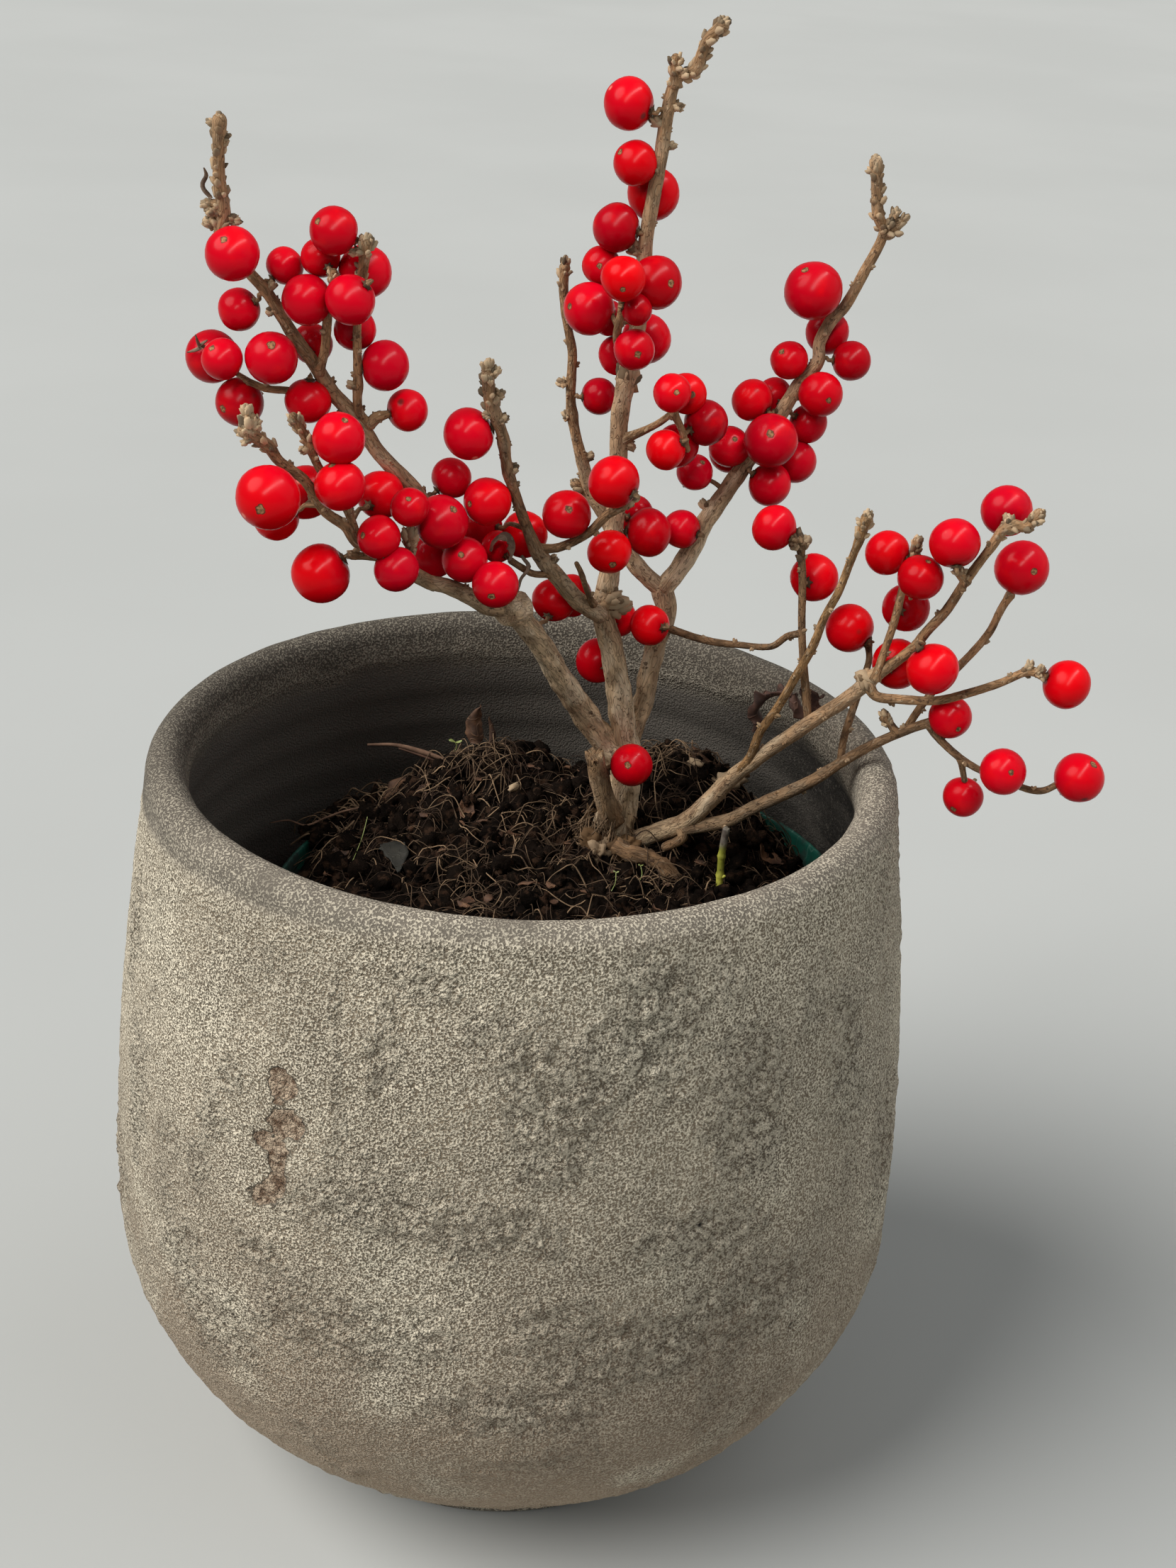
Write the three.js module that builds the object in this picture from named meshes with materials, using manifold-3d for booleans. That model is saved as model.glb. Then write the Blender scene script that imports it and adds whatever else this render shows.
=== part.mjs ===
// Winterberry holly, bare of leaves and full of berries, in a nursery pot inside a stoneware planter.
// Millimetres, +Z up. The origin is the middle of the planter's flat base, and the front faces -Y.

import * as THREE from 'three';
import { mergeVertices } from 'three/addons/utils/BufferGeometryUtils.js';
import Module from 'manifold-3d';

const wasm = await Module();
wasm.setup();

// Driving dimensions
const CLEARANCE = 0.35;
const PLANTER_HEIGHT = 163;
const PLANTER_RIM_RADIUS = 77.5;
const PLANTER_BELLY_RADIUS = 86.2;
const PLANTER_WALL = 7.5;
const PLANTER_FLOOR = 10;
const FOOT_RADIUS = 50;
const FOOT_HEIGHT = 5;
const RIM_ROUNDING = 5;
const RIM_HALF_WIDTH = 4.4;
const NURSERY_X = 8.5;
const NURSERY_Y = 6;
const NURSERY_RIM_RADIUS = 63;
const NURSERY_RIM_Z = 124;
const NURSERY_BASE_RADIUS = 41.5;
const NURSERY_WALL = 1.2;
const NURSERY_LIP = 2;
const NURSERY_LIP_HEIGHT = 5;
const SOIL_EDGE_DROP = 7;
const SOIL_MOUND = 14;
const SOIL_BACK_RISE = 8;
const SOIL_HUMPS = [[-18, 38, 6], [28, 37, 10]];
const HUMP_SPREAD = 13;
const STALK_RADIUS = 0.5;
const BERRY_FLATNESS = 0.96;
const FACET_ALLOWANCE = 1.04;
const BERRY_SIDES = 7;
const BERRY_BANDS = 5;
const THIN_TWIG = 1;
const LEAF_THICKNESS = 0.7;
const POT_SIDES = 36;
const SOIL_SIDES = 32;

// Colours and surfaces
const stoneware = new THREE.MeshStandardMaterial({ color: 0x9a9280, roughness: 0.95, metalness: 0 });
const tealPlastic = new THREE.MeshStandardMaterial({ color: 0x1b5a47, roughness: 0.5, metalness: 0 });
const peat = new THREE.MeshStandardMaterial({ color: 0x1d1511, roughness: 1, metalness: 0 });
const bark = new THREE.MeshStandardMaterial({ color: 0x7a6a58, roughness: 0.85, metalness: 0 });
const berryRed = new THREE.MeshStandardMaterial({ color: 0xb80c14, roughness: 0.25, metalness: 0 });
const youngBark = new THREE.MeshStandardMaterial({ color: 0x8c6d3f, roughness: 0.8, metalness: 0 });
const greenStick = new THREE.MeshStandardMaterial({ color: 0x8c8f2a, roughness: 0.7, metalness: 0 });

// Helpers that turn geometry into solids and back
function toSolid(geometry) {
  const bare = geometry.clone();
  bare.deleteAttribute('normal');
  bare.deleteAttribute('uv');
  const merged = mergeVertices(bare, 1e-4);
  return new wasm.Manifold(new wasm.Mesh({
    numProp: 3,
    vertProperties: new Float32Array(merged.attributes.position.array),
    triVerts: new Uint32Array(merged.index.array),
  }));
}

function toGeometry(solid) {
  const mesh = solid.getMesh();
  const geometry = new THREE.BufferGeometry();
  geometry.setAttribute('position', new THREE.BufferAttribute(mesh.vertProperties, 3));
  geometry.setIndex(new THREE.BufferAttribute(mesh.triVerts, 1));
  geometry.computeVertexNormals();
  return geometry;
}

function join(solids) {
  return solids.reduce((whole, solid) => whole.add(solid));
}

// The one body that is left when loose scraps of a cut are dropped
function withoutScraps(solid) {
  const pieces = solid.decompose();
  return pieces.reduce((largest, piece) => (piece.volume() > largest.volume() ? piece : largest));
}

// The top of the planter's rim in its profile: part of an ellipse, from the outside over to the inside
function rimArc(startDegrees, endDegrees, steps) {
  const arc = [];
  for (let i = 0; i <= steps; i += 1) {
    const angle = THREE.MathUtils.degToRad(THREE.MathUtils.lerp(startDegrees, endDegrees, i / steps));
    const radius = PLANTER_RIM_RADIUS - RIM_HALF_WIDTH * (1 - Math.cos(angle));
    arc.push(new THREE.Vector2(radius, PLANTER_HEIGHT - RIM_ROUNDING * (1 - Math.sin(angle))));
  }
  return arc;
}

// A smooth stretch of a profile through places [radius, height]
function smoothWall(places, steps) {
  return new THREE.SplineCurve(places.map((place) => new THREE.Vector2(...place))).getPoints(steps);
}

// A profile of radius and height turned round +Z
function turned(profile, sides) {
  return new THREE.LatheGeometry(profile, sides).rotateX(Math.PI / 2);
}

// The planter: a recessed foot, a full belly, and a thick rounded rim that narrows the mouth
function planterGeometry() {
  const belly = PLANTER_BELLY_RADIUS;
  const inside = PLANTER_BELLY_RADIUS - PLANTER_WALL;
  const rimFoot = PLANTER_HEIGHT - RIM_ROUNDING;
  const outerPlaces = [[FOOT_RADIUS + 4, FOOT_HEIGHT + 0.8], [belly - 12, 26], [belly - 1.5, 47],
    [belly, 66],
    [belly - 1.7, 98], [belly - 4.8, 128], [PLANTER_RIM_RADIUS, rimFoot]];
  const innerPlaces = [[PLANTER_RIM_RADIUS - 2 * RIM_HALF_WIDTH, rimFoot - 3], [inside - 4.8, 128],
    [inside - 1.7, 98], [inside - 1, 60], [inside - 12, 30], [FOOT_RADIUS + 3, PLANTER_FLOOR + 1]];
  const profile = [
    new THREE.Vector2(0, 0),
    new THREE.Vector2(FOOT_RADIUS - 1, 0),
    new THREE.Vector2(FOOT_RADIUS, 1),
    new THREE.Vector2(FOOT_RADIUS + 1, FOOT_HEIGHT),
    ...smoothWall(outerPlaces, 8),
    ...rimArc(25, 155, 4),
    ...smoothWall(innerPlaces, 4),
    new THREE.Vector2(FOOT_RADIUS + 2, PLANTER_FLOOR),
    new THREE.Vector2(0, PLANTER_FLOOR),
  ];
  return turned(profile, POT_SIDES);
}

// The nursery pot: a thin tapered wall with a lip, standing on the planter's floor
function nurseryGeometry() {
  const base = PLANTER_FLOOR + CLEARANCE;
  const lipBottom = NURSERY_RIM_Z - NURSERY_LIP_HEIGHT;
  const wallTopRadius = NURSERY_RIM_RADIUS - NURSERY_LIP;
  const profile = [
    new THREE.Vector2(0, base),
    new THREE.Vector2(NURSERY_BASE_RADIUS, base),
    new THREE.Vector2(wallTopRadius, lipBottom),
    new THREE.Vector2(NURSERY_RIM_RADIUS - 0.3, lipBottom),
    new THREE.Vector2(NURSERY_RIM_RADIUS, NURSERY_RIM_Z - 0.5),
    new THREE.Vector2(NURSERY_RIM_RADIUS - 0.6, NURSERY_RIM_Z),
    new THREE.Vector2(NURSERY_RIM_RADIUS - 1.2, NURSERY_RIM_Z - 0.4),
    new THREE.Vector2(wallTopRadius - NURSERY_WALL, lipBottom - 1),
    new THREE.Vector2(NURSERY_BASE_RADIUS - NURSERY_WALL, base + NURSERY_WALL),
    new THREE.Vector2(0, base + NURSERY_WALL),
  ];
  return turned(profile, POT_SIDES);
}

// Height of the soil at a place given from the middle of the nursery pot: a lumpy mound with two humps
// [x, y, height] at the back, which sinks to the pot's wall all round
function soilHeight(x, y) {
  const reach = Math.hypot(x, y) / NURSERY_RIM_RADIUS;
  const mound = SOIL_MOUND * (1 - reach ** 2.2);
  const back = SOIL_BACK_RISE * THREE.MathUtils.smoothstep(y, 0, 46);
  const hump = ([humpX, humpY, height]) => height * Math.exp(-(((x - humpX) ** 2 + (y - humpY) ** 2)
    / (2 * HUMP_SPREAD ** 2)));
  const humps = SOIL_HUMPS.reduce((sum, place) => sum + hump(place), 0);
  const lumps = 0.8 * Math.sin(x * 0.31 + 1.3) * Math.cos(y * 0.27) + 0.5 * Math.sin(x * 0.7 + y * 0.55);
  return NURSERY_RIM_Z - SOIL_EDGE_DROP + mound + (back + humps + lumps) * Math.min(1, 5 * (1 - reach));
}

// The soil ball: the inside of the nursery pot, with its top raised by soilHeight
function soilGeometry() {
  const bottom = PLANTER_FLOOR + NURSERY_WALL + 2 * CLEARANCE;
  const bottomRadius = NURSERY_BASE_RADIUS - NURSERY_WALL - 2 * CLEARANCE;
  const edgeRadius = NURSERY_RIM_RADIUS - NURSERY_LIP - NURSERY_WALL - 2 * CLEARANCE;
  const profile = [new THREE.Vector2(0, bottom), new THREE.Vector2(bottomRadius, bottom)];
  const topRings = [1, 0.9, 0.76, 0.62, 0.48, 0.34, 0.18, 0];
  topRings.forEach((share) => profile.push(new THREE.Vector2(edgeRadius * share, bottom + 1)));
  const geometry = turned(profile, SOIL_SIDES);
  const position = geometry.attributes.position;
  for (let i = 0; i < position.count; i += 1) {
    if (position.getZ(i) > bottom + 0.5) {
      position.setZ(i, soilHeight(position.getX(i), position.getY(i)));
    }
  }
  return geometry;
}

// A tapered stem: a closed tube through places [x, y, z, radius], with a blunt round tip
function stemGeometry(places, sides, extra = 0) {
  const centres = places.map(([x, y, z]) => new THREE.Vector3(x, y, z));
  const radii = places.map((place) => place[3] + extra);
  const last = centres.length - 1;
  const tipWay = centres[last].clone().sub(centres[last - 1]).normalize();
  centres.push(centres[last].clone().addScaledVector(tipWay, radii[last] * 0.6));
  radii.push(radii[last] * 0.55);
  const positions = [];
  const index = [];
  let side = new THREE.Vector3(1, 0.2, 0.1);
  centres.forEach((centre, ring) => {
    const ahead = centres[Math.min(ring + 1, centres.length - 1)];
    const behind = centres[Math.max(ring - 1, 0)];
    const way = ahead.clone().sub(behind).normalize();
    side.addScaledVector(way, -side.dot(way)).normalize();
    const across = way.clone().cross(side);
    for (let k = 0; k < sides; k += 1) {
      const angle = (2 * Math.PI * k) / sides;
      const rim = centre.clone().addScaledVector(side, radii[ring] * Math.cos(angle));
      rim.addScaledVector(across, radii[ring] * Math.sin(angle));
      positions.push(rim.x, rim.y, rim.z);
      if (ring > 0) {
        const next = (k + 1) % sides;
        const low = (ring - 1) * sides;
        const high = ring * sides;
        index.push(low + k, low + next, high + next, low + k, high + next, high + k);
      }
    }
  });
  const start = centres.length * sides;
  positions.push(...centres[0].toArray(), ...centres[centres.length - 1].toArray());
  for (let k = 0; k < sides; k += 1) {
    const next = (k + 1) % sides;
    index.push(start, next, k, start + 1, start - sides + k, start - sides + next);
  }
  const geometry = new THREE.BufferGeometry();
  geometry.setAttribute('position', new THREE.Float32BufferAttribute(positions, 3));
  geometry.setIndex(index);
  return geometry;
}

// A berry at [x, y, z, diameter]: a small faceted ball, a little flattened and turned its own way
function berryGeometry([x, y, z, diameter]) {
  const ball = new THREE.SphereGeometry((diameter / 2) * FACET_ALLOWANCE, BERRY_SIDES, BERRY_BANDS);
  return ball.scale(1, BERRY_FLATNESS, 1).rotateX(Math.PI / 2).rotateZ(x + y).translate(x, y, z);
}

// A bud at [x, y, z, radius]: a pointed knob
function budGeometry([x, y, z, radius]) {
  return new THREE.OctahedronGeometry(radius * 1.15).rotateZ(x + z).translate(x, y, z);
}

// A dry leaf: a thin curled blade along a spine of places [x, y, z, half width], its edges dropped by cup
function leafGeometry(spine, cup) {
  const positions = [];
  const index = [];
  const half = LEAF_THICKNESS / 2;
  spine.forEach(([x, y, z, width], row) => {
    const [x0, , z0] = spine[Math.max(row - 1, 0)];
    const [x1, , z1] = spine[Math.min(row + 1, spine.length - 1)];
    const length = Math.hypot(x1 - x0, z1 - z0);
    const upX = -(z1 - z0) / length;
    const upZ = (x1 - x0) / length;
    [[-width, -cup], [0, 0], [width, -cup]].forEach(([sideways, drop]) => {
      [half, -half].forEach((offset) => {
        const rise = drop + offset;
        positions.push(x + upX * rise, y + sideways, z + upZ * rise);
      });
    });
    if (row > 0) {
      const a = (row - 1) * 6;
      const b = row * 6;
      const faces = [[0, 2], [2, 4], [4, 5], [5, 3], [3, 1], [1, 0]];
      faces.forEach(([p, q]) => index.push(a + p, b + q, a + q, a + p, b + p, b + q));
    }
  });
  const end = (spine.length - 1) * 6;
  index.push(0, 2, 3, 0, 3, 1, 2, 4, 5, 2, 5, 3);
  index.push(end, end + 3, end + 2, end, end + 1, end + 3);
  index.push(end + 2, end + 5, end + 4, end + 2, end + 3, end + 5);
  const geometry = new THREE.BufferGeometry();
  geometry.setAttribute('position', new THREE.Float32BufferAttribute(positions, 3));
  geometry.setIndex(index);
  return geometry;
}

// The place on a spray's stems that is nearest to a berry, which its stalk grows from
function nearestOnStems(stems, [x, y, z]) {
  const target = new THREE.Vector3(x, y, z);
  const found = new THREE.Vector3();
  let best = Infinity;
  stems.forEach((places) => {
    for (let i = 1; i < places.length; i += 1) {
      const from = new THREE.Vector3(...places[i - 1].slice(0, 3));
      const to = new THREE.Vector3(...places[i].slice(0, 3));
      const near = new THREE.Line3(from, to).closestPointToPoint(target, true, new THREE.Vector3());
      if (near.distanceTo(target) < best) {
        best = near.distanceTo(target);
        found.copy(near);
      }
    }
  });
  return found;
}

// Stems are lists of [x, y, z, radius], berries are [x, y, z, diameter] and buds are [x, y, z, radius].
// The framework is the old wood: crown, surface roots, broken stub, trunk and the two low limbs.
const framework = {
  stems: [
    [[18.5, 19, 119, 3.4], [18.8, 19.5, 127, 5.2], [21, 21, 141, 3.5], [21.5, 21.5, 149, 3.1],
      [20, 21.5, 160.5, 2.7], [14.5, 22.5, 184, 2.2], [15, 23, 189.5, 2.2]],
    [[19, 18, 138, 2.2], [17.5, 15, 143, 2.1], [14.5, 12, 155.5, 1.9]],
    [[18, 18, 132, 2.4], [15.5, 14.5, 130.5, 2], [13.5, 12, 127.5, 1.5]],
    [[19, 17, 131.5, 2.2], [26, 12.5, 131.5, 1.8], [31.5, 9, 130, 1.6], [33.5, 7.5, 127, 1.3]],
    [[20, 21, 151, 2.4], [15.5, 20, 156.5, 2.5], [12, 18, 162, 2.5], [3, 11, 179, 2.3],
      [-4, 6, 190, 2.4]],
    [[-3, 7.5, 189.5, 2.4], [-5, 3, 190.5, 2.4]],
    [[21, 23, 154, 2.1], [24.5, 26, 163, 2.1], [25, 27, 168, 2.1], [28, 31, 181.5, 2.1],
      [27, 32, 186, 2.2]],
  ],
  berries: [[4, 19, 187.5, 9.2], [7.5, 27, 185.5, 9.2], [17.5, 30, 180, 8.7], [24.5, 23, 181.5, 8.7],
    [14, 30.5, 169.5, 9.8], [22.5, 13.5, 153, 9.1]],
  buds: [[16.5, 22, 186.5, 2.5]],
};

// Each spray carries its own twigs, berries and buds, and is cut clear of the wood that it grows from.
const sprays = {
  centre_spray: {
    growsFrom: ['framework'],
    stems: [
      [[15, 23, 189, 2.2], [16, 25, 212, 1.8], [15.5, 26, 225.5, 1.7], [16.5, 26.5, 234, 1.9],
        [18.5, 28, 249.5, 1.5], [18.5, 29, 261, 1.4], [21, 31.5, 284.5, 1.2], [22.5, 32, 291.5, 1],
        [26, 31.5, 293.5, 0.9], [28, 30.5, 299.5, 0.8], [30.5, 30, 302, 0.8]],
      [[22.3, 32, 290, 0.9], [22, 31.5, 295.5, 0.8]],
      [[16.5, 25.5, 221, 0.9], [23, 21, 226, 0.6], [26, 18.5, 229.5, 0.6], [28, 17, 233, 0.6],
        [29.5, 16, 234, 0.6]],
      [[26, 18.7, 229.5, 0.7], [29.5, 18, 222, 0.5]],
      [[17, 26.5, 236, 0.9], [14, 22.5, 242.5, 0.8], [14.5, 18, 253, 0.6]],
    ],
    berries: [[15, 16, 200, 9.2], [23, 25, 201.5, 10.2], [20, 33, 202.5, 8.1],
      [13.5, 31.5, 286.5, 10.3], [15.5, 30.5, 275.5, 8.9], [19.5, 37, 268.5, 10.6],
      [12.5, 29.5, 263, 9.7], [10, 31, 255, 7.9], [14.5, 14.5, 256.5, 8.8], [21, 23.5, 254, 10.6],
      [8, 25.5, 247.5, 10.5], [17.5, 19, 249.5, 6.4], [20, 39.5, 238.5, 10.4], [17.5, 21, 241, 8.3],
      [14.5, 33, 236.5, 8.4], [12, 33, 244, 7.2], [25.5, 14.5, 234.5, 7.7], [28.5, 21.5, 232.5, 8.4],
      [33, 22.5, 226.5, 9.3], [25, 15.5, 222.5, 8.1], [27.5, 23.5, 221, 9]],
    buds: [[17.5, 25.5, 220, 1.2], [19, 31, 283.5, 1.1], [23, 31.5, 286.5, 1], [22, 31, 279, 1],
      [16.5, 29, 259, 1.3], [16.5, 26.5, 234, 2.4], [30.5, 30, 302.5, 1.1]],
  },
  thin_spray: {
    growsFrom: ['framework', 'right_spray'],
    stems: [
      [[27, 32, 186, 1.8], [21, 33, 191, 1.8], [10.5, 34.5, 206, 1.5], [5.5, 35, 223, 1],
        [5, 35.5, 235.5, 0.9], [3, 35.5, 244.5, 0.8], [2.5, 36, 253, 0.7]],
      [[10.5, 34.5, 205, 0.8], [7, 34.5, 208, 0.8]],
    ],
    berries: [[11, 35, 227, 7.8]],
    buds: [[3.3, 35, 229.5, 1], [4.7, 35, 222.5, 1], [9.5, 34.5, 214, 1], [2.5, 36, 254, 1]],
  },
  right_spray: {
    growsFrom: ['framework'],
    stems: [
      [[27, 32, 186, 2.1], [43, 38, 214, 1.6], [56, 40.5, 235.5, 1.3], [56, 41, 239.5, 1.2],
        [64, 43, 254.5, 1], [67, 44, 262, 0.9], [65.5, 44, 265.5, 0.9], [64, 45, 278, 0.9]],
      [[66.8, 44, 261.5, 0.8], [69.5, 44, 264, 0.8]],
    ],
    berries: [[30, 32.5, 200, 8.2], [32, 34.5, 212, 7.8], [39.5, 47.5, 212.5, 8.4], [39, 38, 217, 8.8],
      [47, 31, 221, 11.3], [43, 39, 227, 8.8], [48, 45, 226.5, 7.8], [50, 40.5, 235.5, 8],
      [57, 37.5, 229.5, 9.3], [55.5, 43, 221.5, 8.3], [53.5, 41.5, 213.5, 9.2], [48, 35.5, 210, 9.4],
      [63, 41, 236, 8.3], [58, 47.5, 240, 9.2], [53.5, 39.5, 250.5, 12]],
    buds: [[69.5, 44, 264, 1.3], [68.8, 44, 266, 1], [35, 35.5, 204.5, 1.2], [64, 45, 278.5, 1.1]],
  },
  upper_left_spray: {
    growsFrom: ['framework'],
    stems: [
      [[-4, 6, 190, 1.9], [-6.5, 5.5, 191.5, 1.7], [-24.5, 1, 216.5, 1.5], [-31, -1, 224, 1.4],
        [-35, -2, 230.5, 1.4], [-39.5, -2.5, 235.5, 1.3], [-51.5, -4.5, 254.5, 0.9],
        [-59.5, -6, 265.5, 1], [-59, -6, 269, 1], [-59.5, -7, 275.5, 0.9], [-59, -8, 288, 0.8]],
      [[-39, -2.5, 235, 0.7], [-52, -5.5, 236.5, 0.6], [-55.5, -6, 238, 0.5]],
      [[-42, -3.5, 239.5, 0.8], [-40.5, -5.5, 245, 0.8], [-38.5, -9, 260, 0.7]],
      [[-32.5, -1.5, 229, 0.8], [-34.5, -3, 232.5, 0.8], [-34.5, -6, 249, 0.7], [-32.5, -10, 266, 0.7]],
      [[-32.5, -2, 229.5, 0.8], [-31, -2, 231, 0.7], [-29, -1.5, 231.6, 0.6]],
    ],
    berries: [[-56.5, -12, 263, 10], [-38.5, -9, 267.5, 9], [-48.5, -2, 259, 7.2],
      [-41.5, -4.5, 261.5, 7.4], [-33.5, -3, 259, 10], [-43.5, -8.5, 254.5, 9.5],
      [-35, -12.5, 256, 9.4], [-35.5, -1, 247.5, 8.1], [-44, 2, 243.5, 7.8], [-57, -3, 250.5, 8.1],
      [-50, -9.5, 243.5, 9.9], [-59, -10.5, 243, 7.8], [-62.5, -2, 241, 10.1], [-57, -4, 233, 9.4],
      [-44, -4, 234, 9], [-29.5, -3, 241.5, 9.6], [-25.5, 0.5, 232, 8.3], [-18, -5.5, 212, 10.7],
      [-20.5, 7.5, 200, 9.2], [-13.5, -1.5, 203, 9.2], [-7, -6.5, 200, 9.2], [-17, 5, 217.5, 8.2]],
    buds: [[-60.3, -6.5, 270.5, 1], [-60.3, -6, 267.5, 1], [-58, -6, 267.5, 1], [-59, -8, 288.5, 1.1],
      [-32.5, -10, 266.5, 1]],
  },
  lower_left_spray: {
    growsFrom: ['framework', 'upper_left_spray'],
    stems: [
      [[-4, 6, 190, 1.7], [-8.5, 3, 191.5, 1.7], [-16.5, -2.5, 197.5, 1.5], [-20.5, -5.5, 199.5, 1.4],
        [-26, -10, 204.5, 1.3], [-33.5, -12.5, 209.5, 1.1], [-35.5, -13, 212.5, 1],
        [-39.5, -14.5, 216, 0.9], [-43, -16.5, 222.5, 0.9], [-47.5, -18, 226.5, 0.9],
        [-49.5, -18.5, 229.5, 0.9], [-53.5, -20, 232.5, 0.9]],
      [[-33.5, -12, 209.5, 0.8], [-36.5, -13.5, 218.5, 0.7], [-40.5, -14.5, 224.5, 0.7],
        [-45, -16, 234.5, 0.6]],
      [[-27.5, -10.5, 205.5, 0.6], [-34.5, -12, 206.5, 0.6]],
      [[-24, -8.5, 203, 0.8], [-23.5, -10, 209.5, 0.8]],
    ],
    berries: [[-36.5, -16.5, 231, 9.9], [-36, -18.5, 222.5, 9.8], [-48.5, -24.5, 221.5, 12.1],
      [-49, -12.5, 213.5, 9.1], [-44.5, -4.5, 216, 10.6], [-30, -3.5, 216, 9.5],
      [-23.5, -12.5, 217, 7.5], [-29, -15, 211.5, 8.5], [-25.5, -15.5, 205.5, 8.9],
      [-40.5, -12.5, 202.5, 11.5]],
    buds: [[-53, -20, 233.5, 1.7], [-52.7, -20, 236, 1.2], [-51.7, -20, 234, 1.2],
      [-23.5, -10, 210.5, 1.6]],
  },
  front_left_spray: {
    growsFrom: ['framework'],
    stems: [
      [[14, 19.5, 184.5, 1.8], [9, 14.5, 189.5, 1.7], [0.5, 6, 203, 1.4], [-4.5, 2.5, 216.5, 1],
        [-7, -0.5, 228.5, 1], [-9.5, -2.5, 236, 0.9], [-10, -4, 241, 0.9]],
      [[1, 7, 203, 0.8], [5, 6, 204, 0.8], [10.5, 4, 208, 0.8], [14, 2.5, 212.5, 0.8],
        [18, 0.5, 216, 0.8], [18.5, 0, 218.5, 0.8]],
      [[3, 9, 197, 0.6], [0, 6, 198, 0.6], [-4.5, 2, 202, 0.6]],
      [[12.3, 15.5, 188.5, 0.6], [11, 12, 192.5, 0.5], [8.5, 8, 200, 0.4]],
    ],
    berries: [[-9.5, 0.5, 214.5, 9.6], [-11, 11, 205.5, 8.7], [-7.5, 5.5, 203.5, 6.5],
      [-2.5, 13.5, 203.5, 9.7], [-13.5, -1, 228.5, 10.1], [6, 4.5, 211.5, 9.8], [15, -2, 221, 10.2]],
    buds: [[-7, -1.5, 232, 1], [-6.5, 0, 227, 1.1], [-4.8, 1.5, 221, 1], [-10, -4, 243, 1.2],
      [3.6, 8, 200.4, 1], [18, 0.5, 217.5, 1.7]],
    leaves: [{ spine: [[-4.5, 2, 202.5, 1.1], [-4, 1.5, 206, 1.6], [-6.5, 0.5, 207.5, 1.5],
      [-8.3, 0, 205.5, 1.2]], cup: 0.3 }],
  },
  far_right_spray: {
    growsFrom: ['framework'],
    stems: [
      [[20, 19, 129.5, 2], [33.5, 14, 139, 1.9], [37, 12, 143, 1.9], [44, 8.5, 154, 1.6],
        [50, 5.5, 161.5, 1.4], [57.5, 2, 170, 1.4], [65.5, 0.5, 177.5, 1.4], [77, -2, 190.5, 0.9],
        [82, -3.5, 199, 0.9], [91, -7, 218.5, 0.8], [94.5, -7.5, 218.8, 0.8], [96.5, -8, 221.5, 0.7]],
      [[34, 13.5, 139.5, 1.1], [34.5, 12, 137, 1], [31, 12, 134.5, 0.9]],
      [[70, -1.5, 182.5, 0.8], [72.5, -0.5, 194.5, 0.7], [75.5, 2, 211, 0.7]],
      [[68.5, -0.5, 181.5, 0.9], [70.5, -1.5, 179, 0.9], [82, -4.5, 180, 0.8], [87, -5.5, 182, 0.8],
        [99, -9, 189.5, 0.7], [102, -10, 189, 0.6]],
      [[85, -5, 205.5, 0.7], [82.5, -6, 209, 0.6]],
    ],
    berries: [[70, 3, 208, 9], [76, -4.5, 206, 9.1], [75.5, 6, 195.5, 9.7], [75, 5, 183.5, 10.4],
      [80, -8.5, 188.5, 10.6], [81.5, -6, 214, 10], [91.5, -1, 219.5, 10.1], [106.5, -10, 187.5, 9.8]],
    buds: [[91, -7, 219.5, 1.1], [68.5, -0.3, 181.5, 1.7], [75.5, 2, 211, 1]],
  },
  yellow_shoot: {
    growsFrom: ['far_right_spray'],
    material: youngBark,
    stems: [
      [[44.5, 7.5, 155, 0.9], [47, 6, 160, 0.9], [48.5, 5, 166.5, 0.8], [57, 0, 188.5, 0.8],
        [62, -3.5, 207.5, 0.7], [64, -6, 218, 0.7]],
    ],
    berries: [],
    buds: [[64, -6, 218.5, 1]],
  },
  lower_right_spray: {
    growsFrom: ['far_right_spray', 'framework'],
    stems: [
      [[34, 13.5, 138.5, 1.5], [44.5, 9.5, 143.5, 1.4], [59.5, 3, 156.5, 1.2], [71.5, 0, 167.5, 0.9],
        [82, -2, 174, 0.9]],
      [[81.5, -2, 174, 0.7], [88.5, -3.5, 167.5, 0.7], [100.5, -6, 163, 0.6], [105.5, -7, 162.5, 0.6],
        [109.5, -8, 165.5, 0.6]],
      [[89, -3.7, 167.2, 0.6], [90.5, -3, 162, 0.5]],
      [[76, -0.7, 170.5, 0.7], [73, -0.5, 174, 0.7]],
    ],
    berries: [[86, -2, 175.5, 8.9], [96.5, -10.5, 168, 9.4], [112.5, -8, 166.5, 10.2],
      [91, -1.5, 157.5, 8.5]],
    buds: [[73, -0.5, 174.5, 1]],
  },
  low_twig: {
    growsFrom: ['lower_right_spray'],
    stems: [
      [[65.5, 3, 162, 0.7], [66, 5.5, 166, 0.7], [68, 9, 173, 0.7], [70, 11, 181.5, 0.6],
        [69.5, 12, 185, 0.6]],
    ],
    berries: [[65.5, 13, 187.5, 10.2]],
    buds: [[69.5, 12, 185.5, 0.9]],
  },
  outer_twig: {
    growsFrom: ['lower_right_spray'],
    stems: [
      [[77.3, -0.7, 171, 0.7], [84, 2, 181.5, 0.7], [92.5, 4.5, 191.5, 0.7], [96, 6, 199.5, 0.7]],
    ],
    berries: [[97.5, 6, 205.5, 11]],
    buds: [[96, 6, 200, 1]],
  },
  crossing_twig: {
    growsFrom: ['far_right_spray', 'framework', 'yellow_shoot'],
    stems: [
      [[58, 2.5, 170.5, 0.8], [55, 5, 189, 0.7], [53, 7, 207.5, 0.7]],
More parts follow.
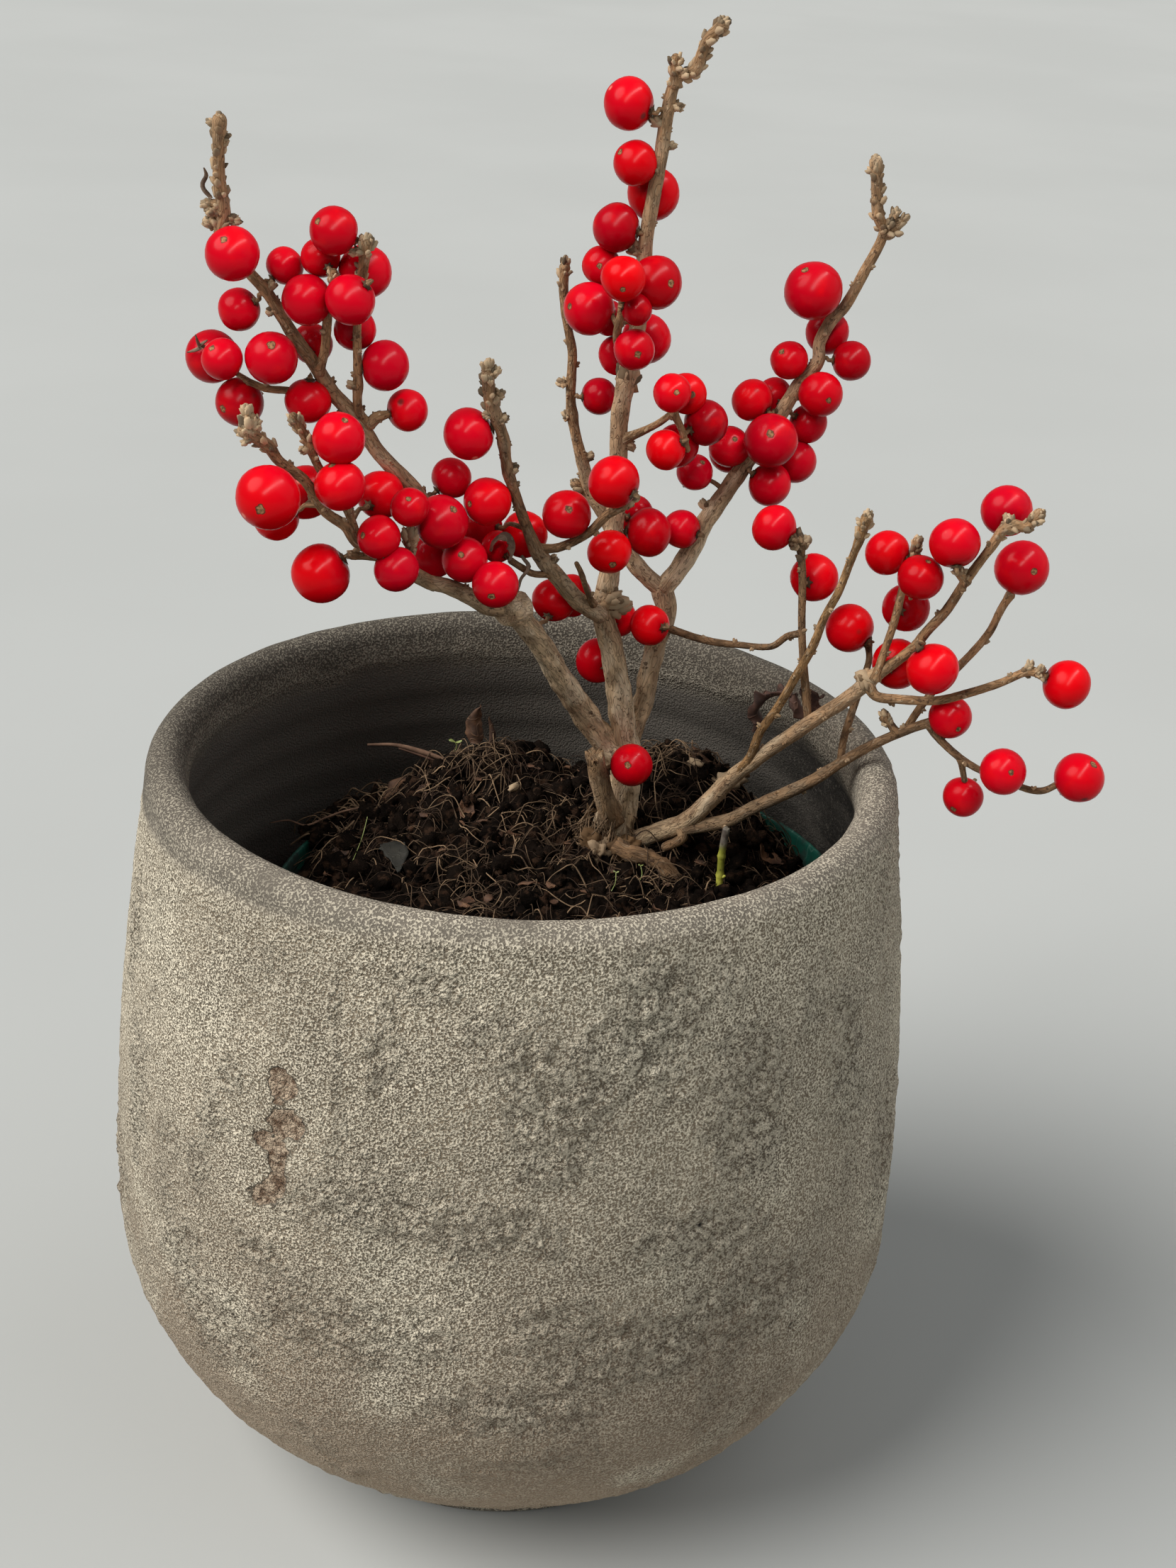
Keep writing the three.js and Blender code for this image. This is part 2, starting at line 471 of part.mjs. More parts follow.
      [[55, 5, 189, 0.6], [52.5, 8, 187, 0.6], [49.5, 11.5, 183, 0.6], [39, 20.5, 179.5, 0.7],
        [34.5, 25, 178.5, 0.7], [28.5, 29.5, 178.5, 0.8]],
    ],
    berries: [[47.5, 7, 210.5, 9.2], [57, 12, 198.5, 9.9]],
    buds: [[52, 7, 207, 1], [52.6, 7, 209, 1.1], [54, 7, 208, 1]],
    leaves: [{ spine: [[48.5, 10, 164, 1.8], [51, 9, 168.5, 3], [54, 7.5, 171, 2.4],
      [57.3, 4.5, 173.5, 1.1]], cup: 0.8 }],
  },
};

const cutStick = [[43, 5.5, 118, 0.8], [43, 6, 127, 0.8], [43, 6.5, 137, 0.8], [43.5, 7, 142.5, 0.8]];

// The wood of a spray, or the same wood a little thicker to cut its neighbours clear
function woodSolid(spray, extra = 0) {
  const stemSolid = (places) => toSolid(stemGeometry(places, places[0][3] > THIN_TWIG ? 6 : 4, extra));
  return join(spray.stems.map(stemSolid));
}

// A spray with its berries on stalks, its buds and its dry leaves
function spraySolid(spray) {
  const parts = [woodSolid(spray)];
  spray.berries.forEach((berry) => {
    const [x, y, z, diameter] = berry;
    const root = nearestOnStems(spray.stems, berry);
    const middle = new THREE.Vector3(x, y, z);
    if (root.distanceTo(middle) > diameter / 2) {
      const inside = middle.clone().lerp(root, 0.4);
      const stalk = [[...root.toArray(), STALK_RADIUS], [...inside.toArray(), STALK_RADIUS]];
      parts.push(toSolid(stemGeometry(stalk, 4)));
    }
    parts.push(toSolid(berryGeometry(berry)));
  });
  spray.buds.forEach((bud) => parts.push(toSolid(budGeometry(bud))));
  (spray.leaves ?? []).forEach(({ spine, cup }) => parts.push(toSolid(leafGeometry(spine, cup))));
  return join(parts);
}

const holly = new THREE.Group();

function addMesh(name, geometry, material, parent = holly) {
  const mesh = new THREE.Mesh(geometry, material);
  mesh.name = name;
  parent.add(mesh);
  return mesh;
}

// The two pots, the soil with its plain holes for the wood, and the plant
const everySpray = { framework, ...sprays };
const nursery = new THREE.Group();
nursery.position.set(NURSERY_X, NURSERY_Y, 0);
holly.add(nursery);

addMesh('planter', planterGeometry(), stoneware);
addMesh('nursery_pot', nurseryGeometry(), tealPlastic, nursery);

const standing = [framework, sprays.far_right_spray, sprays.lower_right_spray];
const holes = standing.map((spray) => woodSolid(spray, CLEARANCE));
holes.push(toSolid(stemGeometry(cutStick, 6, CLEARANCE)));
const soilSolid = toSolid(soilGeometry()).subtract(join(holes).translate(-NURSERY_X, -NURSERY_Y, 0));
addMesh('soil', toGeometry(withoutScraps(soilSolid)), peat, nursery);

addMesh('framework', toGeometry(spraySolid(framework)), bark);
Object.entries(sprays).forEach(([name, spray]) => {
  const neighbours = join(spray.growsFrom.map((other) => woodSolid(everySpray[other], CLEARANCE)));
  const solid = withoutScraps(spraySolid(spray).subtract(neighbours));
  addMesh(name, toGeometry(solid), spray.material ?? berryRed);
});
addMesh('cut_stick', stemGeometry(cutStick, 6), greenStick);

export default holly;
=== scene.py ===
"""Potted winterberry holly: the looks of the part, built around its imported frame.

The plant is leafless, with glossy red berries on bare twigs. It grows in peat in a thin green nursery
pot, which stands inside a rough stoneware planter. Sizes are in millimetres until a piece is made, and
the front faces -Y.
"""

import random
from math import atan2, cos, exp, hypot, pi, radians, sin, sqrt

import bpy
from bpy.props import FloatProperty, FloatVectorProperty, IntProperty, PointerProperty
from mathutils import Matrix, Vector
from mathutils.noise import noise


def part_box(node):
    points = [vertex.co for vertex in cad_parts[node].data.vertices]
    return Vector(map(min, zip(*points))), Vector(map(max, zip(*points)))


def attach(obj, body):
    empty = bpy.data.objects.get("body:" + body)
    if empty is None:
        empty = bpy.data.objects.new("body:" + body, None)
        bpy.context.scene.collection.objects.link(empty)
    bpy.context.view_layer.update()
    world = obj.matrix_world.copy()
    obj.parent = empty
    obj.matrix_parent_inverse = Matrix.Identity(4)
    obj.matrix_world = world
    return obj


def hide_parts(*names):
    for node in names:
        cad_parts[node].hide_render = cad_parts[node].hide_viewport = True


bl_info = {
    "name": "Potted winterberry holly",
    "version": (1, 0, 0),
    "blender": (4, 5, 0),
    "location": "3D View > Sidebar > Holly",
    "description": "Builds a winterberry holly in its two pots around a packed frame",
    "category": "Object",
}

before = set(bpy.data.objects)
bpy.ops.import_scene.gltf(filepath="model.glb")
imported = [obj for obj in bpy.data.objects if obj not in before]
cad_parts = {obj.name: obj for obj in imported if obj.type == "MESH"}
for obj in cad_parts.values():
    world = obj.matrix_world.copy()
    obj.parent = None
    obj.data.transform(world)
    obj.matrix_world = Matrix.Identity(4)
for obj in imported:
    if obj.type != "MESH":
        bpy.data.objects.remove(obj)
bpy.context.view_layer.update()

MM = 0.001
PLANTER_HIGH = tuple(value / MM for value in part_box("planter")[1])
NURSERY_LOW, NURSERY_HIGH = (tuple(value / MM for value in corner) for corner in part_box("nursery_pot"))
SOIL_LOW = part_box("soil")[0][2] / MM
PLANTER_HEIGHT = PLANTER_HIGH[2]
BELLY_RADIUS = PLANTER_HIGH[1]
NURSERY_MIDDLE = ((NURSERY_LOW[0] + NURSERY_HIGH[0]) / 2, (NURSERY_LOW[1] + NURSERY_HIGH[1]) / 2)
MIDDLE_X, MIDDLE_Y = NURSERY_MIDDLE
NURSERY_RADIUS = (NURSERY_HIGH[1] - NURSERY_LOW[1]) / 2
NURSERY_RIM = NURSERY_HIGH[2]

# The planter's underside and foot as (radius, height), then its wall as (how far inside the belly, height)
FOOT_PROFILE = [(0, 0.8), (30, 0.8), (42, 0.7), (43.5, 0), (48.6, 0), (49.7, 0.5), (50.2, 1.4), (50.6, 3),
                (50.9, 4.4), (51.8, 5.1)]
OUTER_WALL = [(32.2, 5.8), (12, 26), (1.5, 47), (0, 66), (1.7, 98), (4.8, 128), (8.7, 158)]
INNER_WALL = [(17.5, 155), (12.3, 128), (9.2, 98), (8.5, 60), (19.5, 30), (33.2, 11)]
PLANTER_FLOOR = 10
FOOT_RADIUS = 50
FOOT_HEIGHT = 5
RIM_HALF_WIDTH = 4.4
RIM_ROUNDING = 5
RIM_LOW = PLANTER_HEIGHT - RIM_ROUNDING
RIM_RADIUS = BELLY_RADIUS - OUTER_WALL[-1][0] - RIM_HALF_WIDTH
THROWING_RING = 0.4
PLANTER_SIDES = 460
# Heights between which the wall turns charcoal, down its inside, and bare, up its rim
CHARCOAL_EDGE = (158, 149)
BARE_RIM = (158.2, 162)

# The nursery pot and the soil in it
NURSERY_WALL = 1.2
NURSERY_LIP = 2
NURSERY_LIP_HEIGHT = 5
NURSERY_BASE_RADIUS = 41.5
NURSERY_LEAN = 0.045
LEANING_PART = (50, 118)
NURSERY_SIDES = 128
SOIL_RADIUS = 59.1
SOIL_EDGE_DROP = 7
SOIL_MOUND = 14
SOIL_BACK_RISE = 8
SOIL_HUMPS = [(-18, 38, 6), (28, 37, 10)]
HUMP_SPREAD = 13
BACK_DENT = (3, 41)
DENT_DEPTH = 7
DENT_SPREAD = 5
SOIL_BRIM = 118
SOIL_RINGS = 96
SOIL_SIDES = 270
TRUNK_FOOT = (18.5, 18.5)
# Degrees between which peat and roots spill over the nursery pot's rim, and how many do
SPILL_STRETCH = (127, 158)
SPILLED_CRUMBS = 150
SPILLED_ROOTS = 70
COLLAR_ROOTS = 130
LEAF_SHREDS = 75
# Gnarled knobs at the foot of the trunk, as (x, y, z, radius)
CROWN_KNOBS = [(15.2, 14, 134, 2.5), (17, 12.2, 132.5, 2.5), (20, 12.5, 133, 2.3), (14.5, 16.5, 133, 2.4),
               (23, 14.5, 133.3, 2.1), (15, 11.5, 130.8, 2)]

# Where roots stand up in tufts, as (x, y, spread, how many)
ROOT_TUFTS = [
    (-12, 44, 5, 60), (-20, 41, 4, 30), (34, 44, 7, 60), (10, 15, 5, 40), (-14, 4, 6, 35), (26, -1, 5, 25),
    (17, 14, 3, 30), (25, 20, 4, 30), (58, 33, 4, 15), (-36, 34, 3, 14), (-48, 22, 3, 14),
]

# Marks on the planter as (degrees round from the front, height, half width, half height)
CRUSTY_PATCHES = [
    (-22, 143, 1.5, 7.5), (-21, 130, 1, 7), (-20, 119, 1, 5), (-15, 138, 4, 9), (-10, 151, 6.5, 5),
    (4, 134, 6, 13), (11, 131, 6.5, 13), (8, 118, 7, 6), (-21, 104, 7, 5), (-13, 103, 7.5, 5.5),
    (-5, 103, 7.5, 6.5), (2, 104, 6.5, 5.5), (7, 101, 4.5, 4.5), (-46, 74, 7.5, 10), (-39, 63, 12, 9),
    (-26, 77, 9.5, 9), (-17, 76, 11, 7.5), (-7, 76, 6.5, 5.5), (9, 81, 10, 7.5), (-41, 110, 4.5, 6.5),
    (-38, 121, 3.5, 4.5), (-43, 98, 3.5, 5.5), (-32, 87, 6.5, 3.5), (21, 143, 10, 14), (35, 123, 11, 18),
    (29, 97, 15, 7), (19, 74, 18, 9), (36, 78, 15, 12), (4, 62, 18, 6), (55, 125, 6, 14),
    (-62, 100, 6, 16), (-70, 130, 5, 12), (70, 90, 9, 20), (115, 92, 16, 22), (150, 60, 20, 10),
    (180, 122, 22, 14), (228, 80, 18, 18), (262, 128, 12, 20), (285, 70, 14, 10),
]
CHIPPED_PATCHES = [
    (-29, 124, 3, 3), (-28, 116.5, 4, 2.6), (-31.5, 111.5, 2.5, 2), (-29, 109, 2, 4), (-29, 103, 2.5, 3),
    (-31, 99, 3, 2), (150, 70, 6, 8),
]
PITS = [(28, 100, 1, 0.9), (45, 66, 1, 0.9), (205, 84, 1.5, 1.4), (97, 117, 1.2, 1.2), (262, 60, 1.8, 1.2)]

# The camera that the photograph was taken with
CAMERA_PLACE = (13.468, -405.335, 354.669)
CAMERA_RIGHT = (0.998227, 0.026352, 0.053368)
CAMERA_UP = (-0.059520, 0.441962, 0.895057)
CAMERA_LENS = 66.55
CAMERA_SENSOR_WIDTH = 36

# The wood, berries and buds of every node: stems are lists of (x, y, z, radius),
# berries are (x, y, z, diameter, then the way that the apex points) and buds are (x, y, z, radius)
PLANT = {
    "framework": {
        "stems": [
            [(18.5, 19, 119, 3.4), (18.8, 19.5, 127, 5.2), (19.6, 20, 134, 4.6), (21, 21, 141, 3.5),
             (21.5, 21.5, 149, 3.1), (20, 21.5, 160.5, 2.7), (16.5, 22, 177, 2.3), (14.5, 22.5, 184, 2.2),
             (15, 23, 189.5, 2.2)],
            [(19, 18, 138, 2.2), (17.5, 15, 143, 2.1), (16.5, 14, 147, 2.1), (14.5, 12, 155.5, 1.9)],
            [(18, 18, 132, 2.4), (15.5, 14.5, 130.5, 2), (13.5, 12, 127.5, 1.5)],
            [(18.5, 15.5, 132, 2.3), (22, 11, 133.5, 1.9), (27, 8.5, 133.5, 1.8), (31, 7, 132.3, 1.6),
             (33.5, 6, 130, 1.4)],
            [(20, 21, 151, 2.4), (15.5, 20, 156.5, 2.5), (12, 18, 162, 2.5), (7.5, 14.5, 170, 2.5),
             (3, 11, 179, 2.3), (-0.5, 8.5, 185, 2.3), (-4, 6, 190, 2.4)],
            [(-3, 7.5, 189.5, 2.4), (-5, 3, 190.5, 2.4)],
            [(21, 23, 154, 2.1), (24.5, 26, 163, 2.1), (25, 27, 168, 2.1), (26.5, 29, 175.5, 2.1),
             (28, 31, 181.5, 2.1), (27, 32, 186, 2.2)]],
        "berries": [
            (4, 19, 187.5, 9.2, 0.2, 0.8, 0.5), (7.5, 27, 185.5, 9.2, -0.9, 0.5, 0),
            (17.5, 30, 180, 8.7, 0.2, 1, 0), (24.5, 23, 181.5, 8.7, -0.7, 0.7, -0.2),
            (14, 30.5, 169.5, 9.8, -0.4, 0.9, -0.1), (22.5, 13.5, 153, 9.1, -0.2, -0.9, 0.4)],
        "buds": [(16.5, 22, 186.5, 2.5)]},
    "centre_spray": {
        "stems": [
            [(15, 23, 189, 2.2), (15.5, 23.5, 195.5, 2.1), (16, 25, 212, 1.8), (15.5, 26, 225.5, 1.7),
             (16.5, 26.5, 234, 1.9), (17.5, 27.5, 240, 1.6), (18.5, 28, 249.5, 1.5), (18.5, 29, 261, 1.4),
             (19.5, 30, 269.5, 1.3), (20.5, 30.5, 278, 1.2), (21, 31.5, 284.5, 1.2), (22.5, 32, 291.5, 1),
             (26, 31.5, 293.5, 0.9), (27, 31, 296.5, 0.9), (28, 30.5, 299.5, 0.8), (30.5, 30, 302, 0.8)],
            [(22.3, 32, 290, 0.9), (22, 31.5, 295.5, 0.8)],
            [(16.5, 25.5, 221, 0.9), (23, 21, 226, 0.6), (26, 18.5, 229.5, 0.6), (28, 17, 233, 0.6),
             (29.5, 16, 234, 0.6)],
            [(26, 18.7, 229.5, 0.7), (28, 18.5, 226, 0.6), (29.5, 18, 222, 0.5)],
            [(17, 26.5, 236, 0.9), (14, 22.5, 242.5, 0.8), (14.5, 20, 248.5, 0.7), (14.5, 18, 253, 0.6)]],
        "berries": [
            (15, 16, 200, 9.2, 0.2, -0.9, -0.3), (23, 25, 201.5, 10.2, 1, 0.1, 0),
            (20, 33, 202.5, 8.1, 0.4, 0.9, -0.1), (13.5, 31.5, 286.5, 10.3, -0.9, 0.3, 0.2),
            (15.5, 30.5, 275.5, 8.9, -0.7, -0.4, 0.5), (19.5, 37, 268.5, 10.6, 0, 1, -0.1),
            (12.5, 29.5, 263, 9.7, -1, 0.3, 0.1), (10, 31, 255, 7.9, -0.1, -1, 0.2),
            (14.5, 14.5, 256.5, 8.8, 0, -1, -0.3), (21, 23.5, 254, 10.6, 0.6, -0.8, 0.2),
            (8, 25.5, 247.5, 10.5, -0.8, -0.6, 0.2), (17.5, 19, 249.5, 6.4, 1, 0.2, -0.2),
            (20, 39.5, 238.5, 10.4, 0.2, 1, -0.1), (17.5, 21, 241, 8.3, 0.2, -1, 0),
            (14.5, 33, 236.5, 8.4, -0.4, 0.9, -0.1), (12, 33, 244, 7.2, -0.7, 0.7, 0),
            (25.5, 14.5, 234.5, 7.7, 0.2, -0.9, 0.3), (28.5, 21.5, 232.5, 8.4, 0.3, 0.9, 0.2),
            (33, 22.5, 226.5, 9.3, 0.7, 0.6, 0.2), (25, 15.5, 222.5, 8.1, -0.8, 0.2, -0.5),
            (27.5, 23.5, 221, 9, -0.3, 0.9, -0.2)],
        "buds": [
            (17.5, 25.5, 220, 1.2), (19, 31, 283.5, 1.1), (23, 31.5, 286.5, 1), (22, 31, 279, 1),
            (16.5, 29, 259, 1.3), (16.5, 26.5, 234, 2.4), (30.5, 30, 302.5, 1.1)]},
    "thin_spray": {
        "stems": [
            [(27, 32, 186, 1.8), (21, 33, 191, 1.8), (16.5, 34, 197, 1.7), (13, 34, 203, 1.7),
             (10.5, 34.5, 206, 1.5), (9, 34.5, 210.5, 1.3), (7, 34.5, 217, 1), (5.5, 35, 223, 1),
             (5, 35, 228.5, 0.9), (5, 35.5, 235.5, 0.9), (4, 35.5, 240, 0.8), (3, 35.5, 244.5, 0.8),
             (2.5, 36, 249, 0.7), (2.5, 36, 253, 0.7)],
            [(10.5, 34.5, 205, 0.8), (7, 34.5, 208, 0.8)]],
        "berries": [(11, 35, 227, 7.8, 1, 0.3, 0)],
        "buds": [
            (3.3, 35, 229.5, 1), (4.7, 35, 222.5, 1), (9.5, 34.5, 214, 1), (7, 34.5, 208, 0.9),
            (2.5, 36, 254, 1)]},
    "right_spray": {
        "stems": [
            [(27, 32, 186, 2.1), (30, 33, 190.5, 2), (32.5, 34, 195, 2), (34.5, 35, 200, 2),
             (36.5, 35.5, 203.5, 1.9), (39, 36.5, 207.5, 1.8), (43, 38, 214, 1.6), (49.5, 39.5, 225, 1.5),
             (52.5, 40, 230.5, 1.4), (56, 40.5, 235.5, 1.3), (56, 41, 239.5, 1.2), (58, 41.5, 244, 1.2),
             (60.5, 42, 247, 1.1), (64, 43, 254.5, 1), (67, 44, 262, 0.9), (65.5, 44, 265.5, 0.9),
             (65, 44.5, 269, 0.9), (64.5, 44.5, 272.5, 0.9), (64, 45, 275.8, 0.85)],
            [(66.8, 44, 261.5, 0.8), (69.5, 44, 264, 0.8)]],
        "berries": [
            (30, 32.5, 200, 8.2, -0.9, 0.4, 0.1), (32, 34.5, 212, 7.8, 0.4, -0.5, 0.8),
            (39.5, 47.5, 212.5, 8.4, -0.3, 1, 0), (39, 38, 217, 8.8, 0.2, -0.7, 0.6),
            (47, 31, 221, 11.3, -0.1, -0.8, 0.5), (43, 39, 227, 8.8, -0.8, 0.5, 0.4),
            (48, 45, 226.5, 7.8, -0.3, 0.9, 0.1), (50, 40.5, 235.5, 8, -0.5, -0.6, 0.6),
            (57, 37.5, 229.5, 9.3, 0.3, -0.9, 0), (55.5, 43, 221.5, 8.3, 0.8, 0.4, -0.5),
            (53.5, 41.5, 213.5, 9.2, 0.8, 0.3, -0.5), (48, 35.5, 210, 9.4, 0.8, 0.1, -0.5),
            (63, 41, 236, 8.3, 1, 0.1, 0), (58, 47.5, 240, 9.2, 0.2, 1, -0.2),
            (53.5, 39.5, 250.5, 12, -0.4, -0.4, 0.8)],
        "buds": [
            (69.5, 44, 264, 1.3), (68.8, 44, 266, 1), (70.8, 44, 265.2, 0.9), (69.4, 44, 262.3, 0.9),
            (35, 35.5, 204.5, 1.2), (64, 45, 276, 0.95)]},
    "upper_left_spray": {
        "stems": [
            [(-4, 6, 190, 1.9), (-6.5, 5.5, 191.5, 1.7), (-12.5, 4, 199.5, 1.7), (-19, 2.5, 208.5, 1.6),
             (-24.5, 1, 216.5, 1.5), (-31, -1, 224, 1.4), (-35, -2, 230.5, 1.4), (-39.5, -2.5, 235.5, 1.3),
             (-43, -3, 241, 1.2), (-47, -4, 247, 1.1), (-51.5, -4.5, 254.5, 0.9), (-55, -5, 258.5, 1),
             (-59.5, -6, 265.5, 1), (-59, -6, 269, 1), (-59.5, -7, 275.5, 0.85), (-59, -8, 285.7, 0.7)],
            [(-39, -2.5, 235, 0.7), (-48, -4.5, 236, 0.6), (-52, -5.5, 236.5, 0.6), (-55.5, -6, 238, 0.5)],
            [(-42, -3.5, 239.5, 0.8), (-40.5, -5.5, 245, 0.8), (-40, -6.5, 250.5, 0.8),
             (-39, -8, 255.5, 0.7), (-38.5, -9, 260, 0.7)],
            [(-32.5, -1.5, 229, 0.8), (-34.5, -3, 232.5, 0.8), (-34.5, -4, 238.5, 0.8),
             (-34.5, -6, 249, 0.7), (-34, -7.5, 254.5, 0.7), (-33, -9, 262, 0.7), (-32.5, -10, 266, 0.7)],
            [(-32.5, -2, 229.5, 0.8), (-31, -2, 231, 0.7), (-29, -1.5, 231.6, 0.6)]],
        "berries": [
            (-56.5, -12, 263, 10, -0.2, -0.7, 0.7), (-38.5, -9, 267.5, 9, -0.6, -0.6, 0.5),
            (-48.5, -2, 259, 7.2, 0.6, 0.4, 0.6), (-41.5, -4.5, 261.5, 7.4, -0.5, 0.8, 0.3),
            (-33.5, -3, 259, 10, 0, 1, 0.2), (-43.5, -8.5, 254.5, 9.5, -1, 0.2, 0),
            (-35, -12.5, 256, 9.4, -0.7, 0.2, -0.7), (-35.5, -1, 247.5, 8.1, -0.2, 1, 0.2),
            (-44, 2, 243.5, 7.8, 0, 1, 0.2), (-57, -3, 250.5, 8.1, -0.8, 0.2, -0.5),
            (-50, -9.5, 243.5, 9.9, 0.1, -0.7, 0.7), (-59, -10.5, 243, 7.8, -0.4, -0.6, 0.7),
            (-62.5, -2, 241, 10.1, -0.8, 0.5, 0.3), (-57, -4, 233, 9.4, -0.6, -0.8, -0.1),
            (-44, -4, 234, 9, -0.1, 0, -1), (-29.5, -3, 241.5, 9.6, 1, 0.3, 0.1),
            (-25.5, 0.5, 232, 8.3, 0.9, 0.5, 0.1), (-18, -5.5, 212, 10.7, 0.5, -0.5, 0.7),
            (-20.5, 7.5, 200, 9.2, -0.7, 0.6, -0.4), (-13.5, -1.5, 203, 9.2, -0.1, -0.8, 0.5),
            (-7, -6.5, 200, 9.2, -0.1, -1, -0.2), (-17, 5, 217.5, 8.2, 0.7, 0.4, 0.6)],
        "buds": [
            (-62, -6, 270.5, 1), (-60.8, -6.5, 269, 1.1), (-61.5, -6, 267, 1), (-57, -6, 267.5, 0.9),
            (-50.8, -4.5, 255.5, 0.9), (-50.5, -4.5, 251, 0.9), (-60.2, -7.5, 285, 0.9),
            (-58.3, -7.5, 282.5, 0.9), (-59, -8, 286, 0.8), (-34.5, -9.5, 264, 0.9),
            (-33.5, -8, 256.5, 0.8), (-35.5, -4, 237.5, 0.9), (-31, -2, 231, 0.9), (-32.5, -10, 266.5, 1)]},
    "lower_left_spray": {
        "stems": [
            [(-4, 6, 190, 1.7), (-8.5, 3, 191.5, 1.7), (-11, 1, 193.5, 1.6), (-16.5, -2.5, 197.5, 1.5),
             (-20.5, -5.5, 199.5, 1.4), (-26, -10, 204.5, 1.3), (-30, -11.5, 207.5, 1.2),
             (-33.5, -12.5, 209.5, 1.1), (-35.5, -13, 212.5, 1), (-39.5, -14.5, 216, 0.9),
             (-43, -16.5, 222.5, 0.9), (-47.5, -18, 226.5, 0.9), (-49.5, -18.5, 229.5, 0.9),
             (-53.5, -20, 232.5, 0.9)],
            [(-33.5, -12, 209.5, 0.8), (-34.5, -12.5, 213.5, 0.7), (-36.5, -13.5, 218.5, 0.7),
             (-40.5, -14.5, 224.5, 0.7), (-42.5, -15, 229.5, 0.6), (-45, -16, 234.5, 0.6)],
            [(-27.5, -10.5, 205.5, 0.6), (-34.5, -12, 206.5, 0.6)],
            [(-24, -8.5, 203, 0.8), (-23.5, -10, 209.5, 0.8)]],
        "berries": [
            (-36.5, -16.5, 231, 9.9, 0.3, -0.4, 0.9), (-36, -18.5, 222.5, 9.8, -0.3, -0.2, 0.9),
            (-48.5, -24.5, 221.5, 12.1, -0.1, -1, -0.1), (-49, -12.5, 213.5, 9.1, -0.9, 0.2, -0.4),
            (-44.5, -4.5, 216, 10.6, -0.4, 0.9, 0), (-30, -3.5, 216, 9.5, 0.4, 0.9, 0.2),
            (-23.5, -12.5, 217, 7.5, 0, -0.7, 0.7), (-29, -15, 211.5, 8.5, -0.7, -0.7, 0.3),
            (-25.5, -15.5, 205.5, 8.9, 0.5, 0.3, -0.8), (-40.5, -12.5, 202.5, 11.5, -0.8, -0.1, -0.6)],
        "buds": [
            (-53, -20, 233.5, 1.7), (-52.7, -20, 236, 1.2), (-51.7, -20, 234, 1.2), (-43, -15, 228, 0.9),
            (-34.5, -12, 206.5, 0.8), (-23.5, -10, 210.5, 1.6)]},
    "front_left_spray": {
        "stems": [
            [(14, 19.5, 184.5, 1.8), (9, 14.5, 189.5, 1.7), (4, 10, 197, 1.6), (0.5, 6, 203, 1.4),
             (-2, 4.5, 209, 1), (-4.5, 2.5, 216.5, 1), (-6, 1, 222, 1), (-7, -0.5, 228.5, 1),
             (-9.5, -2.5, 236, 0.9), (-10, -4, 241, 0.9)],
            [(1, 7, 203, 0.8), (5, 6, 204, 0.8), (10.5, 4, 208, 0.8), (14, 2.5, 212.5, 0.8),
             (18, 0.5, 216, 0.8), (18.5, 0, 218.5, 0.8)],
            [(3, 9, 197, 0.6), (0, 6, 198, 0.6), (-2.5, 4, 200, 0.6), (-4.5, 2, 202, 0.6)],
            [(12.3, 15.5, 188.5, 0.6), (11, 12, 192.5, 0.5), (9.5, 9.5, 197.5, 0.5), (8.5, 8, 200, 0.4)]],
        "berries": [
            (-9.5, 0.5, 214.5, 9.6, -0.7, -0.7, 0.1), (-11, 11, 205.5, 8.7, -0.8, 0.5, -0.2),
            (-7.5, 5.5, 203.5, 6.5, -0.6, 0.7, 0.3), (-2.5, 13.5, 203.5, 9.7, -0.5, 0.9, 0.1),
            (-13.5, -1, 228.5, 10.1, -0.9, 0, -0.3), (6, 4.5, 211.5, 9.8, 0.1, -0.8, 0.5),
            (15, -2, 221, 10.2, -0.8, 0.5, 0.3)],
        "buds": [
            (-7.8, -2.2, 237, 0.9), (-7, -1.5, 232, 1), (-6.5, 0, 227, 1.1), (-9.6, -2, 233, 0.9),
            (-4.8, 1.5, 221, 1), (-10, -4, 243, 1.2), (-8.6, -4, 241.8, 0.9), (3.6, 8, 200.4, 1),
            (18, 0.5, 217.5, 1.7)]},
    "far_right_spray": {
        "stems": [
            [(20, 19, 129.5, 2), (29.5, 16, 136, 2), (33.5, 14, 139, 1.9), (37, 12, 143, 1.9),
             (44, 8.5, 154, 1.6), (50, 5.5, 161.5, 1.4), (57.5, 2, 170, 1.4), (65.5, 0.5, 177.5, 1.4),
             (70.5, -0.5, 183.5, 1.4), (74, -1.5, 187, 0.9), (77, -2, 190.5, 0.9), (79, -3, 194.5, 0.9),
             (82, -3.5, 199, 0.9), (85, -5, 206.5, 0.8), (88.5, -6, 213.5, 0.8), (91, -7, 218.5, 0.8),
             (94.5, -7.5, 218.8, 0.8), (96.5, -8, 221.5, 0.7)],
            [(34, 13.5, 139.5, 1.1), (34.5, 12, 137, 1), (31, 12, 134.5, 0.9)],
            [(70, -1.5, 182.5, 0.8), (71.5, -1, 190, 0.7), (72.5, -0.5, 194.5, 0.7), (74, 1, 204.5, 0.7),
             (75.5, 2, 211, 0.7)],
            [(68.5, -0.5, 181.5, 0.9), (70.5, -1.5, 179, 0.9), (74.5, -2.5, 179, 0.9),
             (82, -4.5, 180, 0.8), (87, -5.5, 182, 0.8), (94, -7.5, 186, 0.7), (99, -9, 189.5, 0.7),
             (102, -10, 189, 0.6)],
            [(85, -5, 205.5, 0.7), (82.5, -6, 209, 0.6)]],
        "berries": [
            (70, 3, 208, 9, -0.9, 0.5, 0.1), (76, -4.5, 206, 9.1, 0.2, -0.3, 0.9),
